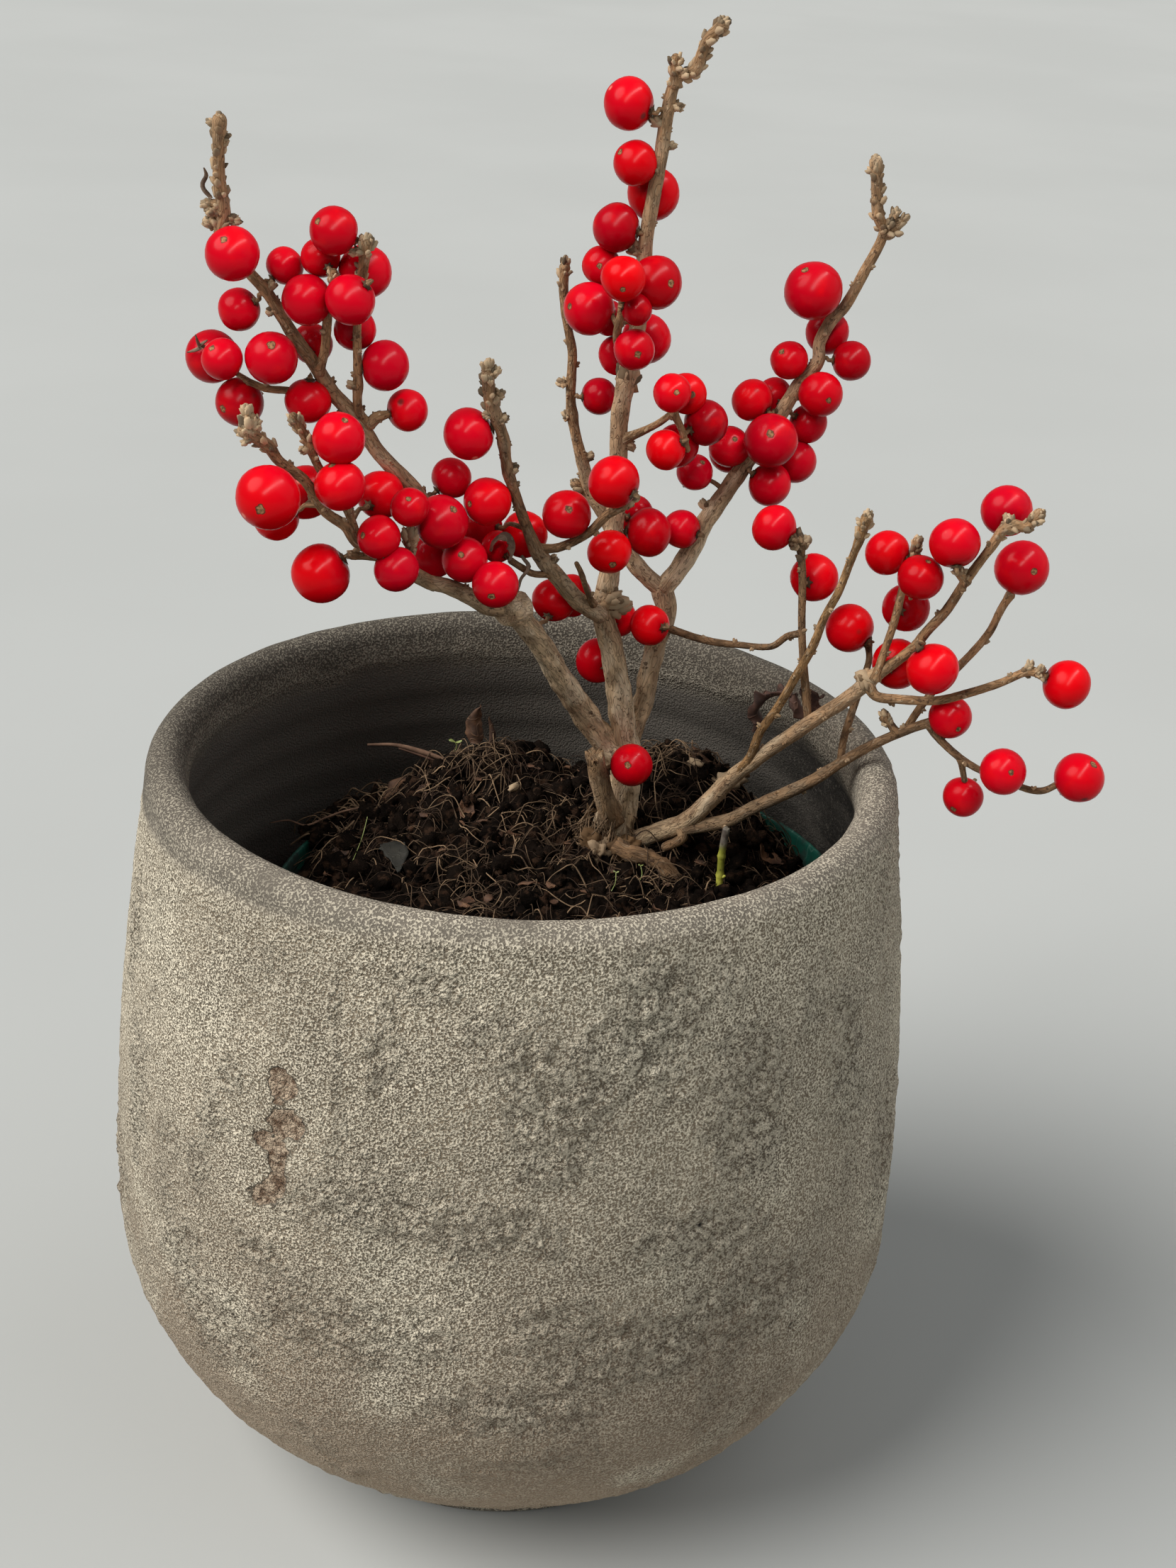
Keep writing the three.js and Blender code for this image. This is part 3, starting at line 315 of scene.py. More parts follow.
            (75.5, 6, 195.5, 9.7, 0.4, 0.9, -0.2), (75, 5, 183.5, 10.4, 0.5, 0.9, -0.2),
            (80, -8.5, 188.5, 10.6, 0.6, -0.1, -0.8), (81.5, -6, 214, 10, -0.1, 0.6, 0.8),
            (91.5, -1, 219.5, 10.1, 0.1, 1, 0.2), (106.5, -10, 187.5, 9.8, 0.9, 0, -0.3)],
        "buds": [
            (96.5, -8, 221.5, 0.9), (91, -7, 219.5, 1.1), (84, -5.5, 208, 0.8), (98.8, -9, 190.6, 0.9),
            (101, -10, 190.3, 0.9), (68.5, -0.3, 181.5, 1.7), (75.5, 2, 211, 1)]},
    "yellow_shoot": {
        "stems": [
            [(44.5, 7.5, 155, 0.9), (47, 6, 160, 0.9), (48.5, 5, 166.5, 0.8), (51.5, 3.5, 173, 0.8),
             (54.5, 2, 181, 0.8), (57, 0, 188.5, 0.8), (58.5, -1, 195, 0.7), (60.5, -2.5, 201, 0.7),
             (62, -3.5, 207.5, 0.7), (63, -5, 212.5, 0.7), (64, -6, 218, 0.7)]],
        "berries": [],
        "buds": [(64, -6, 218.5, 1)]},
    "lower_right_spray": {
        "stems": [
            [(34, 13.5, 138.5, 1.5), (39.5, 11, 141, 1.4), (44.5, 9.5, 143.5, 1.4), (48, 8.5, 146.5, 1.3),
             (52, 6.5, 150, 1.3), (59.5, 3, 156.5, 1.2), (66.5, 1.5, 163, 1), (71.5, 0, 167.5, 0.9),
             (77.5, -1, 171.5, 0.9), (82, -2, 174, 0.9)],
            [(81.5, -2, 174, 0.7), (83.5, -2.5, 171.5, 0.7), (88.5, -3.5, 167.5, 0.7),
             (92.5, -4.5, 165.5, 0.6), (100.5, -6, 163, 0.6), (105.5, -7, 162.5, 0.6),
             (109.5, -8, 165.5, 0.6)],
            [(89, -3.7, 167.2, 0.6), (90.5, -3, 162, 0.5)],
            [(76, -0.7, 170.5, 0.7), (73, -0.5, 174, 0.7)]],
        "berries": [
            (86, -2, 175.5, 8.9, 0.3, -0.9, -0.2), (96.5, -10.5, 168, 9.4, 0.2, -0.9, 0.4),
            (112.5, -8, 166.5, 10.2, 0.4, -0.4, 0.8), (91, -1.5, 157.5, 8.5, -0.5, -0.7, -0.4)],
        "buds": [(73, -0.5, 174.5, 1)]},
    "low_twig": {
        "stems": [
            [(65.5, 3, 162, 0.7), (66, 5.5, 166, 0.7), (67, 7.5, 169.5, 0.7), (68, 9, 173, 0.7),
             (69, 10, 177, 0.7), (70, 11, 181.5, 0.6), (69.5, 12, 185, 0.6)]],
        "berries": [(65.5, 13, 187.5, 10.2, -0.8, 0.5, 0.4)],
        "buds": [(69.5, 12, 185.5, 0.9)]},
    "outer_twig": {
        "stems": [
            [(77.3, -0.7, 171, 0.7), (80.5, 1, 176.5, 0.7), (84, 2, 181.5, 0.7), (87.5, 3, 185, 0.7),
             (92.5, 4.5, 191.5, 0.7), (94.5, 5.5, 196.5, 0.7), (96, 6, 199.5, 0.7)]],
        "berries": [(97.5, 6, 205.5, 11, 0.3, -0.9, 0.2)],
        "buds": [(96, 6, 200, 1)]},
    "crossing_twig": {
        "stems": [
            [(58, 2.5, 170.5, 0.8), (57, 3.5, 176, 0.8), (55, 5, 189, 0.7), (54, 6.5, 201, 0.7),
             (53, 7, 207.5, 0.7)],
            [(55, 5, 189, 0.6), (52.5, 8, 187, 0.6), (49.5, 11.5, 183, 0.6), (43, 17.5, 180.5, 0.6),
             (39, 20.5, 179.5, 0.7), (34.5, 25, 178.5, 0.7), (28.5, 29.5, 178.5, 0.8)]],
        "berries": [(47.5, 7, 210.5, 9.2, -0.8, 0.5, 0.3), (57, 12, 198.5, 9.9, 0.4, 0.9, -0.1)],
        "buds": [(52, 7, 207, 1), (52.6, 7, 209, 1.1), (54, 7, 208, 1)]},
}


# Settings that a user would change
def length_setting(name, description, default):
    """A length in the sidebar, given in millimetres"""
    return FloatProperty(name=name, description=description, default=default * MM, min=0,
                         unit="LENGTH", precision=4)


def colour_setting(name, description, default):
    """A colour in the sidebar"""
    return FloatVectorProperty(name=name, description=description, default=default, size=3,
                               min=0, max=1, subtype="COLOR")


class HollyPotSettings(bpy.types.PropertyGroup):
    """Surfaces of the two pots and the soil"""

    crust_depth: length_setting("Crust depth", "How far the planter's rough patches stand out", 1.0)
    crumb_count: IntProperty(name="Crumbs", description="Crumbs of peat", default=2000, min=0)
    rootlet_count: IntProperty(name="Rootlets", description="Fine curled roots", default=1520, min=0)
    crest: colour_setting("Crust crest", "Cream grains of the planter's crust", (0.95, 0.85, 0.66))
    pit: colour_setting("Crust pit", "Grey-brown hollows of the planter's crust", (0.185, 0.148, 0.10))
    glaze: colour_setting("Inside", "Charcoal inside of the planter", (0.042, 0.037, 0.031))
    plastic: colour_setting("Nursery pot", "Teal plastic of the nursery pot", (0.011, 0.098, 0.068))
    peat: colour_setting("Peat", "Dark peat of the soil", (0.0066, 0.0043, 0.0030))


class HollyPlantSettings(bpy.types.PropertyGroup):
    """Wood and berries of the plant"""

    ring_step: length_setting("Ring step", "How far apart the rings of a stem's mesh are", 0.7)
    berry: colour_setting("Berry", "Scarlet of a ripe berry", (0.45, 0.0006, 0.0024))
    deep_berry: colour_setting("Deep berry", "Darker crimson of a berry", (0.205, 0.0002, 0.0033))
    scar: colour_setting("Apex scar", "Olive-brown scar at a berry's apex", (0.13, 0.066, 0.03))
    old_bark: colour_setting("Old bark", "Grey-brown bark of the old wood", (0.65, 0.465, 0.28))
    young_bark: colour_setting("Young bark", "Warm brown bark of the twigs", (0.30, 0.17, 0.082))
    bud: colour_setting("Bud", "Pale tan of the buds", (0.47, 0.345, 0.215))


# Shapes
class Shape:
    """The points in millimetres, the faces and the point values that one piece is made of"""

    def __init__(self, **defaults):
        self.points = []
        self.faces = []
        self.defaults = defaults
        self.values = {key: [] for key in defaults}

    def add(self, points, faces, **values):
        """Adds a closed form, with one value or a list of values for its points"""
        first = len(self.points)
        self.points.extend(points)
        self.faces.extend(tuple(first + i for i in face) for face in faces)
        for key, default in self.defaults.items():
            given = values.get(key, default)
            self.values[key].extend(given if isinstance(given, list) else [given] * len(points))


def new_object(name, data):
    """An object in the scene"""
    made = bpy.data.objects.new(name, data)
    bpy.context.scene.collection.objects.link(made)
    return made


def make_piece(name, shape, material, slot, *nodes):
    """Makes a Blender object of a shape, which stands for CAD nodes if any are named"""
    mesh = bpy.data.meshes.new(name)
    mesh.from_pydata([Vector(point) * MM for point in shape.points], [], shape.faces)
    mesh.materials.append(material)
    mesh.polygons.foreach_set("use_smooth", [True] * len(shape.faces))
    for key, values in shape.values.items():
        is_place = isinstance(shape.defaults[key], tuple)
        attribute = mesh.attributes.new(key, "FLOAT_VECTOR" if is_place else "FLOAT", "POINT")
        if is_place:
            attribute.data.foreach_set("vector", [part for value in values for part in value])
        else:
            attribute.data.foreach_set("value", values)
    mesh.update()
    piece = new_object(name, mesh)
    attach(piece, "root")
    if nodes:
        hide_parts(*nodes)
    return piece


def blend(low, high, value):
    """0 below low, 1 above high and smooth between, or the other way round if low is the larger"""
    share = min(1, max(0, (value - low) / (high - low)))
    return share * share * (3 - 2 * share)


def smooth_path(places, step):
    """Points (place, radius, length so far) of a smooth curve through places (x, y, z, radius)"""
    spots = [Vector(place[:3]) for place in places]
    spans = [max((after - before).length, 0.05) for before, after in zip(spots, spots[1:])]
    ways = [(spots[1] - spots[0]) / spans[0]]
    for i in range(1, len(spots) - 1):
        ways.append((spots[i + 1] - spots[i - 1]) / (spans[i - 1] + spans[i]))
    ways.append((spots[-1] - spots[-2]) / spans[-1])
    path = []
    length = 0
    for i, span in enumerate(spans):
        steps = max(2, round(span / step))
        for k in range(steps):
            t = k / steps
            place = spots[i] * (2 * t ** 3 - 3 * t ** 2 + 1) + spots[i + 1] * (3 * t ** 2 - 2 * t ** 3)
            place += ways[i] * span * (t ** 3 - 2 * t ** 2 + t) + ways[i + 1] * span * (t ** 3 - t ** 2)
            path.append((place, places[i][3] * (1 - t) + places[i + 1][3] * t, length + span * t))
        length += span
    path.append((spots[-1], places[-1][3], length))
    return path


# How a tube ends, in shares of its radius: rings past its last one as (how far out, how narrow), and a bulge
TUBE_ENDS = {
    "round": ([(0.45, 0.86), (0.8, 0.5)], 0.95),
    "cut": ([(0.08, 0.9), (0.02, 0.6)], 0),
    "broken": ([(0.05, 0.75)], 0.3),
}
# How far apart two stems take their noise
SEED_STEP = 31


def add_tube(shape, path, sides, relief=None, end="round", seed=0, **values):
    """A closed tube along a path, with a relief on its skin and an end that is round, cut or broken"""
    way = (path[-1][0] - path[-2][0]).normalized()
    tip, radius, length = path[-1]
    closing, bulge = TUBE_ENDS[end]
    path = path + [(tip + way * radius * out, radius * narrow, length + radius * out)
                   for out, narrow in closing]
    side = way.orthogonal().normalized()
    points = []
    skin = []
    for i, (place, ring_radius, so_far) in enumerate(path):
        ahead = path[min(i + 1, len(path) - 1)][0] - path[max(i - 1, 0)][0]
        if ahead.length > 1e-6 and i < len(path) - len(closing):
            way = ahead.normalized()
        side = (side - way * side.dot(way)).normalized()
        across = way.cross(side)
        for k in range(sides):
            angle = 2 * pi * k / sides
            around = side * cos(angle) + across * sin(angle)
            flat = (cos(angle) * ring_radius + SEED_STEP * seed, sin(angle) * ring_radius)
            on_skin = Vector((*flat, so_far))
            rise = relief(on_skin, ring_radius) if relief else 0
            point = place + around * (ring_radius + rise)
            if end == "broken" and i >= len(path) - 3:
                point += way * radius * 1.1 * noise(on_skin * 1.7)
            points.append(point)
            skin.append(tuple(on_skin))
    faces = []
    for ring in range(len(path) - 1):
        for k in range(sides):
            low = ring * sides
            faces.append((low + k, low + (k + 1) % sides, low + sides + (k + 1) % sides, low + sides + k))
    for ring, turn in ((0, -1), (len(path) - 1, 1)):
        centre = len(points)
        points.append(path[ring][0] + way * radius * bulge * 0.2 if turn > 0 else path[ring][0])
        skin.append((SEED_STEP * seed, 0, path[ring][2]))
        for k in range(sides):
            edge = (ring * sides + k, ring * sides + (k + 1) % sides)
            faces.append((*(edge if turn > 0 else edge[::-1]), centre))
    if "skin" in shape.defaults:
        values["skin"] = skin
    shape.add(points, faces, **values)


def add_ball(shape, centre, axis, radius, stretch=1, rows=8, sides=10, lumps=0, point=0, seed=0, **values):
    """A lumpy ball that is stretched along its axis and drawn out to a point"""
    axis = Vector(axis).normalized()
    side = axis.orthogonal().normalized()
    across = axis.cross(side)
    centre = Vector(centre)
    points = [centre - axis * radius * stretch]
    for row in range(1, rows):
        polar = pi * (1 - row / rows)
        for k in range(sides):
            angle = 2 * pi * k / sides
            around = side * cos(angle) + across * sin(angle)
            out = around * sin(polar) + axis * cos(polar) * stretch
            grow = 1 + lumps * noise(out * 1.9 + Vector((seed * 7.3, seed, 0)))
            pull = 1 - point * max(0, cos(polar))
            out = around * sin(polar) * pull + axis * cos(polar) * stretch
            points.append(centre + out * radius * grow)
    points.append(centre + axis * radius * stretch)
    top = len(points) - 1
    faces = []
    for k in range(sides):
        after = (k + 1) % sides
        faces.append((0, 1 + after, 1 + k))
        faces.append((top, top - sides + k, top - sides + after))
        for row in range(rows - 2):
            low = 1 + row * sides
            faces.append((low + k, low + after, low + sides + after, low + sides + k))
    shape.add(points, faces, **values)


def add_blade(shape, places, sideways, cup, ripple, thickness=0.28, columns=8, step=0.6, seed=0, **values):
    """A dry leaf: a thin closed blade along places (x, y, z, half width), cupped and with wavy edges"""
    path = smooth_path(places, step)
    tops = []
    bottoms = []
    sideways = Vector(sideways)
    for i, (place, width, so_far) in enumerate(path):
        way = (path[min(i + 1, len(path) - 1)][0] - path[max(i - 1, 0)][0]).normalized()
        side = (sideways - way * sideways.dot(way)).normalized()
        up = side.cross(way)
        for k in range(columns + 1):
            out = 2 * k / columns - 1
            edge = width * (1 + 0.18 * noise(Vector((so_far * 0.7, out * 1.2, seed * 5))))
            wave = noise(Vector((so_far * 0.5, out, seed * 3)))
            lift = -cup * out * out * width + ripple * out * out * wave
            middle = place + side * out * edge + up * lift
            tops.append(middle + up * thickness / 2)
            bottoms.append(middle - up * thickness / 2)
    rows = len(path)
    wide = columns + 1
    under = rows * wide
    faces = []
    for i in range(rows - 1):
        for k in range(columns):
            corner = i * wide + k
            faces.append((corner, corner + 1, corner + wide + 1, corner + wide))
            low = under + corner
            faces.append((low, low + wide, low + wide + 1, low + 1))
        for start, flip in ((i * wide, False), (i * wide + columns, True)):
            strip = (start, start + wide, under + start + wide, under + start)
            faces.append(strip[::-1] if flip else strip)
    for k in range(columns):
        for start, flip in ((k, True), ((rows - 1) * wide + k, False)):
            strip = (start, start + 1, under + start + 1, under + start)
            faces.append(strip if flip else strip[::-1])
    faces = [face[::-1] for face in faces]
    shape.add(tops + bottoms, faces, **values)


def spaced(places, step):
    """Profile places (radius, height) put about a step apart along a smooth line through the given ones"""
    path = smooth_path([(radius, 0, height, 1) for radius, height in places], step)
    return [(place.x, place.z) for place, _, _ in path]


def add_turned(shape, rows, sides, middle, relief, values_at=lambda place, angle: {}):
    """A profile of rows (radius, height) turned round a middle, with a relief, closed at the axis"""
    points = []
    kept = {key: [] for key in shape.defaults}
    starts = []
    for i, (radius, height) in enumerate(rows):
        starts.append(len(points))
        before, after = rows[max(i - 1, 0)], rows[min(i + 1, len(rows) - 1)]
        out = Vector((after[1] - before[1], before[0] - after[0])).normalized()
        for k in range(sides if radius > 0 else 1):
            angle = 2 * pi * k / sides
            ray = Vector((sin(angle), -cos(angle), 0))
            plain = Vector((*middle, height)) + ray * radius
            rise = relief(plain, angle, i) if radius > 0 else 0
            points.append(plain + ray * out.x * rise + Vector((0, 0, out.y * rise)))
            found = values_at(plain, angle)
            for key in kept:
                kept[key].append(found[key])
    faces = []
    for row in range(len(rows) - 1):
        low, high = starts[row], starts[row + 1]
        for k in range(sides):
            after = (k + 1) % sides
            if rows[row][0] == 0:
                faces.append((low, high + after, high + k))
            elif rows[row + 1][0] == 0:
                faces.append((high, low + k, low + after))
            else:
                faces.append((low + k, low + after, high + after, high + k))
    shape.add(points, faces, **kept)


# Node trees
def put(tree, kind, inputs=None, **settings):
    """Adds a shader node, sets it up and fills its inputs with values or links"""
    made = tree.nodes.new("ShaderNode" + kind)
    for key, value in settings.items():
        setattr(made, key, value)
    for key, value in (inputs or {}).items():
        socket = made.inputs[key]
        if isinstance(value, bpy.types.NodeSocket):
            tree.links.new(value, socket)
        elif socket.type == "RGBA":
            socket.default_value = (*value[:3], 1)
        else:
            socket.default_value = value
    return made


def mixed(tree, factor, first, second):
    """The colour between two colours"""
    return put(tree, "Mix", {0: factor, 6: first, 7: second}, data_type="RGBA").outputs[2]


def ramped(tree, value, low, high, start=0, end=1):
    """A value carried smoothly from start to end while it goes from low to high"""
    inputs = {"Value": value, "From Min": low, "From Max": high, "To Min": start, "To Max": end}
    return put(tree, "MapRange", inputs, interpolation_type="SMOOTHSTEP").outputs[0]


def worked(tree, operation, first, second=0):
    """The result of a sum on two values"""
    return put(tree, "Math", {0: first, 1: second}, operation=operation).outputs[0]


def times(tree, first, second):
    """The product of two values"""
    return worked(tree, "MULTIPLY", first, second)


def plus(tree, first, second):
    """Two values added up"""
    return worked(tree, "ADD", first, second)


def laid(tree, below, mask, share, colour):
    """A colour with another laid over a share of it where a mask is 1"""
    return mixed(tree, times(tree, mask, share), below, colour)


def clouds(tree, vector, scale, detail=3):
    """Soft noise from 0 to 1"""
    return put(tree, "TexNoise", {"Vector": vector, "Scale": scale, "Detail": detail}).outputs[0]


def attribute(tree, name, output="Fac"):
    """A point value of the mesh"""
    return put(tree, "Attribute", attribute_name=name).outputs[output]


def object_place(tree):
    """The place on the object, in metres"""
    return put(tree, "TexCoord").outputs["Object"]


def scaled(tree, vector, scale):
    """A vector stretched along its axes"""
    return put(tree, "Mapping", {"Vector": vector, "Scale": scale}).outputs[0]


# The kinds of the node groups' sockets that aren't plain values
SOCKET_KINDS = {"Vector": "NodeSocketVector", "Low": "NodeSocketColor", "High": "NodeSocketColor",
                "Color": "NodeSocketColor"}


def grouped(tree, name, output, build, **inputs):
    """The one output of a node group, which is built once, for inputs that are values or links"""
    made = bpy.data.node_groups.get(name)
    if made is None:
        made = bpy.data.node_groups.new(name, "ShaderNodeTree")
        for label, way in [(label, "INPUT") for label in inputs] + [(output, "OUTPUT")]:
            kind = SOCKET_KINDS.get(label, "NodeSocketFloat")
            made.interface.new_socket(name=label, in_out=way, socket_type=kind)
        found = build(made, made.nodes.new("NodeGroupInput").outputs)
        made.links.new(found, made.nodes.new("NodeGroupOutput").inputs[output])
    return put(tree, "Group", inputs, node_tree=made).outputs[0]


def worm_lines(tree, vector, scale, width):
    """Mask of thin lines that wander like worms: scuffs, fibres, veins or the fissures of bark"""
    def build(inside, given):
        noisy = clouds(inside, given["Vector"], given["Scale"], 1)
        apart = worked(inside, "ABSOLUTE", worked(inside, "SUBTRACT", noisy, 0.5))
        return ramped(inside, apart, given["Width"], 0)
    return grouped(tree, "Worm lines", "Mask", build, Vector=vector, Scale=scale, Width=width)


def speckles(tree, vector, scale, coverage):
    """Mask of scattered small round spots"""
    def build(inside, given):
        cells = put(inside, "TexVoronoi", {"Vector": given["Vector"], "Scale": given["Scale"]})
        chance = put(inside, "SeparateColor", {0: cells.outputs["Color"]}).outputs[0]
        chosen = worked(inside, "LESS_THAN", chance, given["Coverage"])
        return times(inside, chosen, ramped(inside, cells.outputs["Distance"], 0.34, 0.12))
    return grouped(tree, "Speckles", "Mask", build, Vector=vector, Scale=scale, Coverage=coverage)


def crusty(tree, vector, scale):
    """Height of irregular lumps, from 0 in the creases between them to 1 at their tops"""
    def build(inside, given):
        given_place, given_scale = given["Vector"], given["Scale"]
        wander = put(inside, "TexNoise", {"Vector": given_place, "Scale": given_scale, "Detail": 3})
        short = {0: wander.outputs["Color"], 1: (MM, MM, MM)}
        moved = put(inside, "VectorMath", short, operation="MULTIPLY").outputs[0]
        moved = put(inside, "VectorMath", {0: given_place, 1: moved}, operation="ADD").outputs[0]
        cells = put(inside, "TexVoronoi", {"Vector": moved, "Scale": given_scale})
        return ramped(inside, cells.outputs["Distance"], 0.72, 0.12)
    return grouped(tree, "Crusty lumps", "Height", build, Vector=vector, Scale=scale)


def ragged_edge(tree, share, noisy, low, high):
    """A mask of a soft patch with a crisp ragged edge"""
    return ramped(tree, plus(tree, share, worked(tree, "SUBTRACT", noisy, 0.5)), low, high)


def mottled(tree, vector, scale, low, high):
    """A colour that wanders between two colours in soft patches"""
    def build(inside, given):
        share = ramped(inside, clouds(inside, given["Vector"], given["Scale"], 4), 0.32, 0.68)
        return mixed(inside, share, given["Low"], given["High"])
    return grouped(tree, "Mottled colour", "Color", build, Vector=vector, Scale=scale, Low=low, High=high)


def new_material(name, viewport_colour):
    """An empty material with its output"""
    material = bpy.data.materials.new(name)
    material.use_nodes = True
    material.diffuse_color = (*viewport_colour[:3], 1)
    tree = material.node_tree
    tree.nodes.clear()
    return material, tree


def surface(tree, colour, roughness, specular=0.5, height=None, depth=0):
    """The shader of a material, with bumps from a height and its depth in millimetres if they are given"""
    inputs = {"Base Color": colour, "Roughness": roughness, "Specular IOR Level": specular}
    if height is not None:
        bump = put(tree, "Bump", {"Height": height, "Distance": depth * MM, "Strength": 1})
        inputs["Normal"] = bump.outputs[0]
    shader = put(tree, "BsdfPrincipled", inputs)
    put(tree, "OutputMaterial", {"Surface": shader.outputs[0]})


# Materials
def darker(colour, share):
    """A colour at a share of its brightness"""
    return tuple(part * share for part in colour)


def stoneware_material(pots):
    """Stoneware: a grainy cream crust over grey-brown clay, chips, a bare rim and foot, a charcoal inside"""
    material, tree = new_material("stoneware crust", pots.crest)
    place = object_place(tree)
    bare_share = attribute(tree, "bare")
    inside_share = attribute(tree, "inside")
    fine_clouds = clouds(tree, place, 420, 5)
    rough = ragged_edge(tree, attribute(tree, "rough"), clouds(tree, place, 160, 5), 0.1, 0.9)
    grain = clouds(tree, place, 2300, 1)
    large_lumps = times(tree, crusty(tree, place, 620), 0.55)
    lumps = plus(tree, large_lumps, times(tree, crusty(tree, place, 1350), 0.45))
    tone = ramped(tree, clouds(tree, place, 22, 4), 0.35, 0.65)
    # Grain: cream crust on the crests over grey-brown clay in the pits, with a painted highlight in the
    # near-white crests and a painted shade in the dark pits
    crest = mixed(tree, tone, darker(pots.crest, 0.78), pots.crest)
    pit = mottled(tree, place, 65, darker(pots.pit, 0.75), darker(pots.pit, 1.25))
    wall = mixed(tree, ramped(tree, grain, 0.35, 0.61), pit, crest)
    # Rough patches: lump tops lighter, towards the crest colour, and a painted shade darkening the creases
    # between the lumps
    wall = laid(tree, wall, rough, ramped(tree, lumps, 0.3, 0.65, 0, 0.65), pots.crest)
    wall = laid(tree, wall, rough, ramped(tree, lumps, 0.22, 0.03, 0, 0.55), darker(pots.pit, 0.5))
    low = put(tree, "SeparateXYZ", {0: place}).outputs[2]
    # Brownish blotches towards the bottom: a painted shade darkening the lower belly, and a warm painted
    # bounce light brightening the foot
    blotches = ramped(tree, clouds(tree, place, 34, 5), 0.27, 0.52)
    low_blotches_shade_and_bounce = times(tree, ramped(tree, low, 0.125, 0.02, 0.2, 1), blotches)
    foot_bounce_and_shaded_brown = mixed(tree, ramped(tree, low, 0.01, 0.065), (0.46, 0.335, 0.23), (0.20, 0.135, 0.088))
    wall = laid(tree, wall, low_blotches_shade_and_bounce, 0.76, foot_bounce_and_shaded_brown)
    chip_share = attribute(tree, "chip")
    chip_mask = ragged_edge(tree, chip_share, fine_clouds, 0.3, 0.42)
    chip = mottled(tree, place, 700, (0.13, 0.075, 0.043), (0.58, 0.45, 0.32))
    chip = mixed(tree, worm_lines(tree, place, 520, 0.02), chip, (0.06, 0.035, 0.022))
    outline = worked(tree, "SUBTRACT", ragged_edge(tree, chip_share, fine_clouds, 0.18, 0.32), chip_mask)
    wall = mixed(tree, chip_mask, wall, chip)
    wall = laid(tree, wall, outline, 0.75, darker(pots.pit, 0.3))
    wall = mixed(tree, ramped(tree, attribute(tree, "pitted"), 0.45, 0.9), wall, (0.02, 0.016, 0.013))
    frontward = {0: place, 1: (0.5, -0.87, 0)}
    toward_front = put(tree, "VectorMath", frontward, operation="DOT_PRODUCT").outputs[1]
    clay = mixed(tree, ramped(tree, toward_front, -0.06, 0.075), (0.07, 0.059, 0.046), (0.2, 0.172, 0.136))
    stains = ramped(tree, clouds(tree, place, 110, 4), 0.32, 0.68, 0, 0.3)
    clay = mixed(tree, stains, clay, (0.06, 0.051, 0.04))
    glints = ramped(tree, clouds(tree, place, 75), 0.15, 0.5)
    glints = times(tree, ramped(tree, grain, 0.46, 0.64), glints)
    clay = laid(tree, clay, glints, ramped(tree, toward_front, -0.04, 0.07, 0.2, 0.62), crest)
    wall = mixed(tree, bare_share, wall, clay)
    bands = ramped(tree, clouds(tree, scaled(tree, place, (1, 1, 4)), 26, 4), 0.4, 0.65)
    charcoal = mixed(tree, bands, darker(pots.glaze, 0.6), darker(pots.glaze, 1.7))
    # Painted light: the charcoal gets brighter towards the back of the inside, where the light falls on it
    lit_back_inside = ramped(tree, toward_front, 0.02, -0.06, 0, 1)
    charcoal = mixed(tree, lit_back_inside, charcoal, darker(pots.glaze, 3))
    dusty = ramped(tree, clouds(tree, place, 40), 0.45, 0.7)
    charcoal = laid(tree, charcoal, speckles(tree, place, 620, 0.07), dusty, (0.17, 0.155, 0.13))
    worn = ramped(tree, clouds(tree, place, 900, 2), 0.5, 0.7)
    charcoal = laid(tree, charcoal, worn, 0.5, darker(pots.glaze, 3.2))
    colour = mixed(tree, inside_share, wall, charcoal)
    smooth = worked(tree, "MAXIMUM", inside_share, bare_share)
    height = times(tree, ramped(tree, grain, 0.3, 0.7), ramped(tree, smooth, 0, 1, 0.5, 0.14))
    crust = plus(tree, times(tree, fine_clouds, ramped(tree, rough, 0, 1, 1.1, 1.2)),
                 times(tree, lumps, ramped(tree, rough, 0, 1, 0.25, 1.5)))
    crust = worked(tree, "SUBTRACT", crust, times(tree, chip_mask, 0.8))
    height = plus(tree, height, times(tree, crust, ramped(tree, smooth, 0, 1, 1, 0.06)))
    surface(tree, colour, 0.9, 0.3, height, 1)
    return material


def plastic_material(pots):
    """Thin teal plastic, faintly scuffed and dusty"""
    material, tree = new_material("teal pot plastic", pots.plastic)
    place = object_place(tree)
    colour = mottled(tree, place, 55, darker(pots.plastic, 0.65), pots.plastic)
    scuffs = worm_lines(tree, scaled(tree, place, (1, 1, 0.3)), 260, 0.02)
    colour = laid(tree, colour, scuffs, 0.2, (0.2, 0.33, 0.27))
    dirt = ramped(tree, clouds(tree, place, 160, 6), 0.48, 0.62)
    colour = laid(tree, colour, dirt, 0.75, darker(pots.peat, 1.4))
    surface(tree, colour, ramped(tree, dirt, 0, 1, 0.42, 0.9), height=scuffs, depth=0.03)
    return material


def peat_material(pots):
    """Crumbly dark peat with browner fibres"""
    material, tree = new_material("peat", pots.peat)
    place = object_place(tree)
    colour = mottled(tree, place, 170, darker(pots.peat, 0.4), darker(pots.peat, 1.6))
    brown = ramped(tree, clouds(tree, place, 420), 0.52, 0.66)
    colour = laid(tree, colour, brown, 0.8, (0.042, 0.0225, 0.0135))
    fibres = worm_lines(tree, place, 620, 0.022)
    patches = times(tree, ramped(tree, clouds(tree, place, 90), 0.45, 0.62), 0.6)
    colour = laid(tree, colour, fibres, patches, (0.06, 0.038, 0.025))
    height = plus(tree, clouds(tree, place, 800, 6), times(tree, fibres, 0.2))
    surface(tree, colour, 1, 0.05, height, 0.9)
    return material


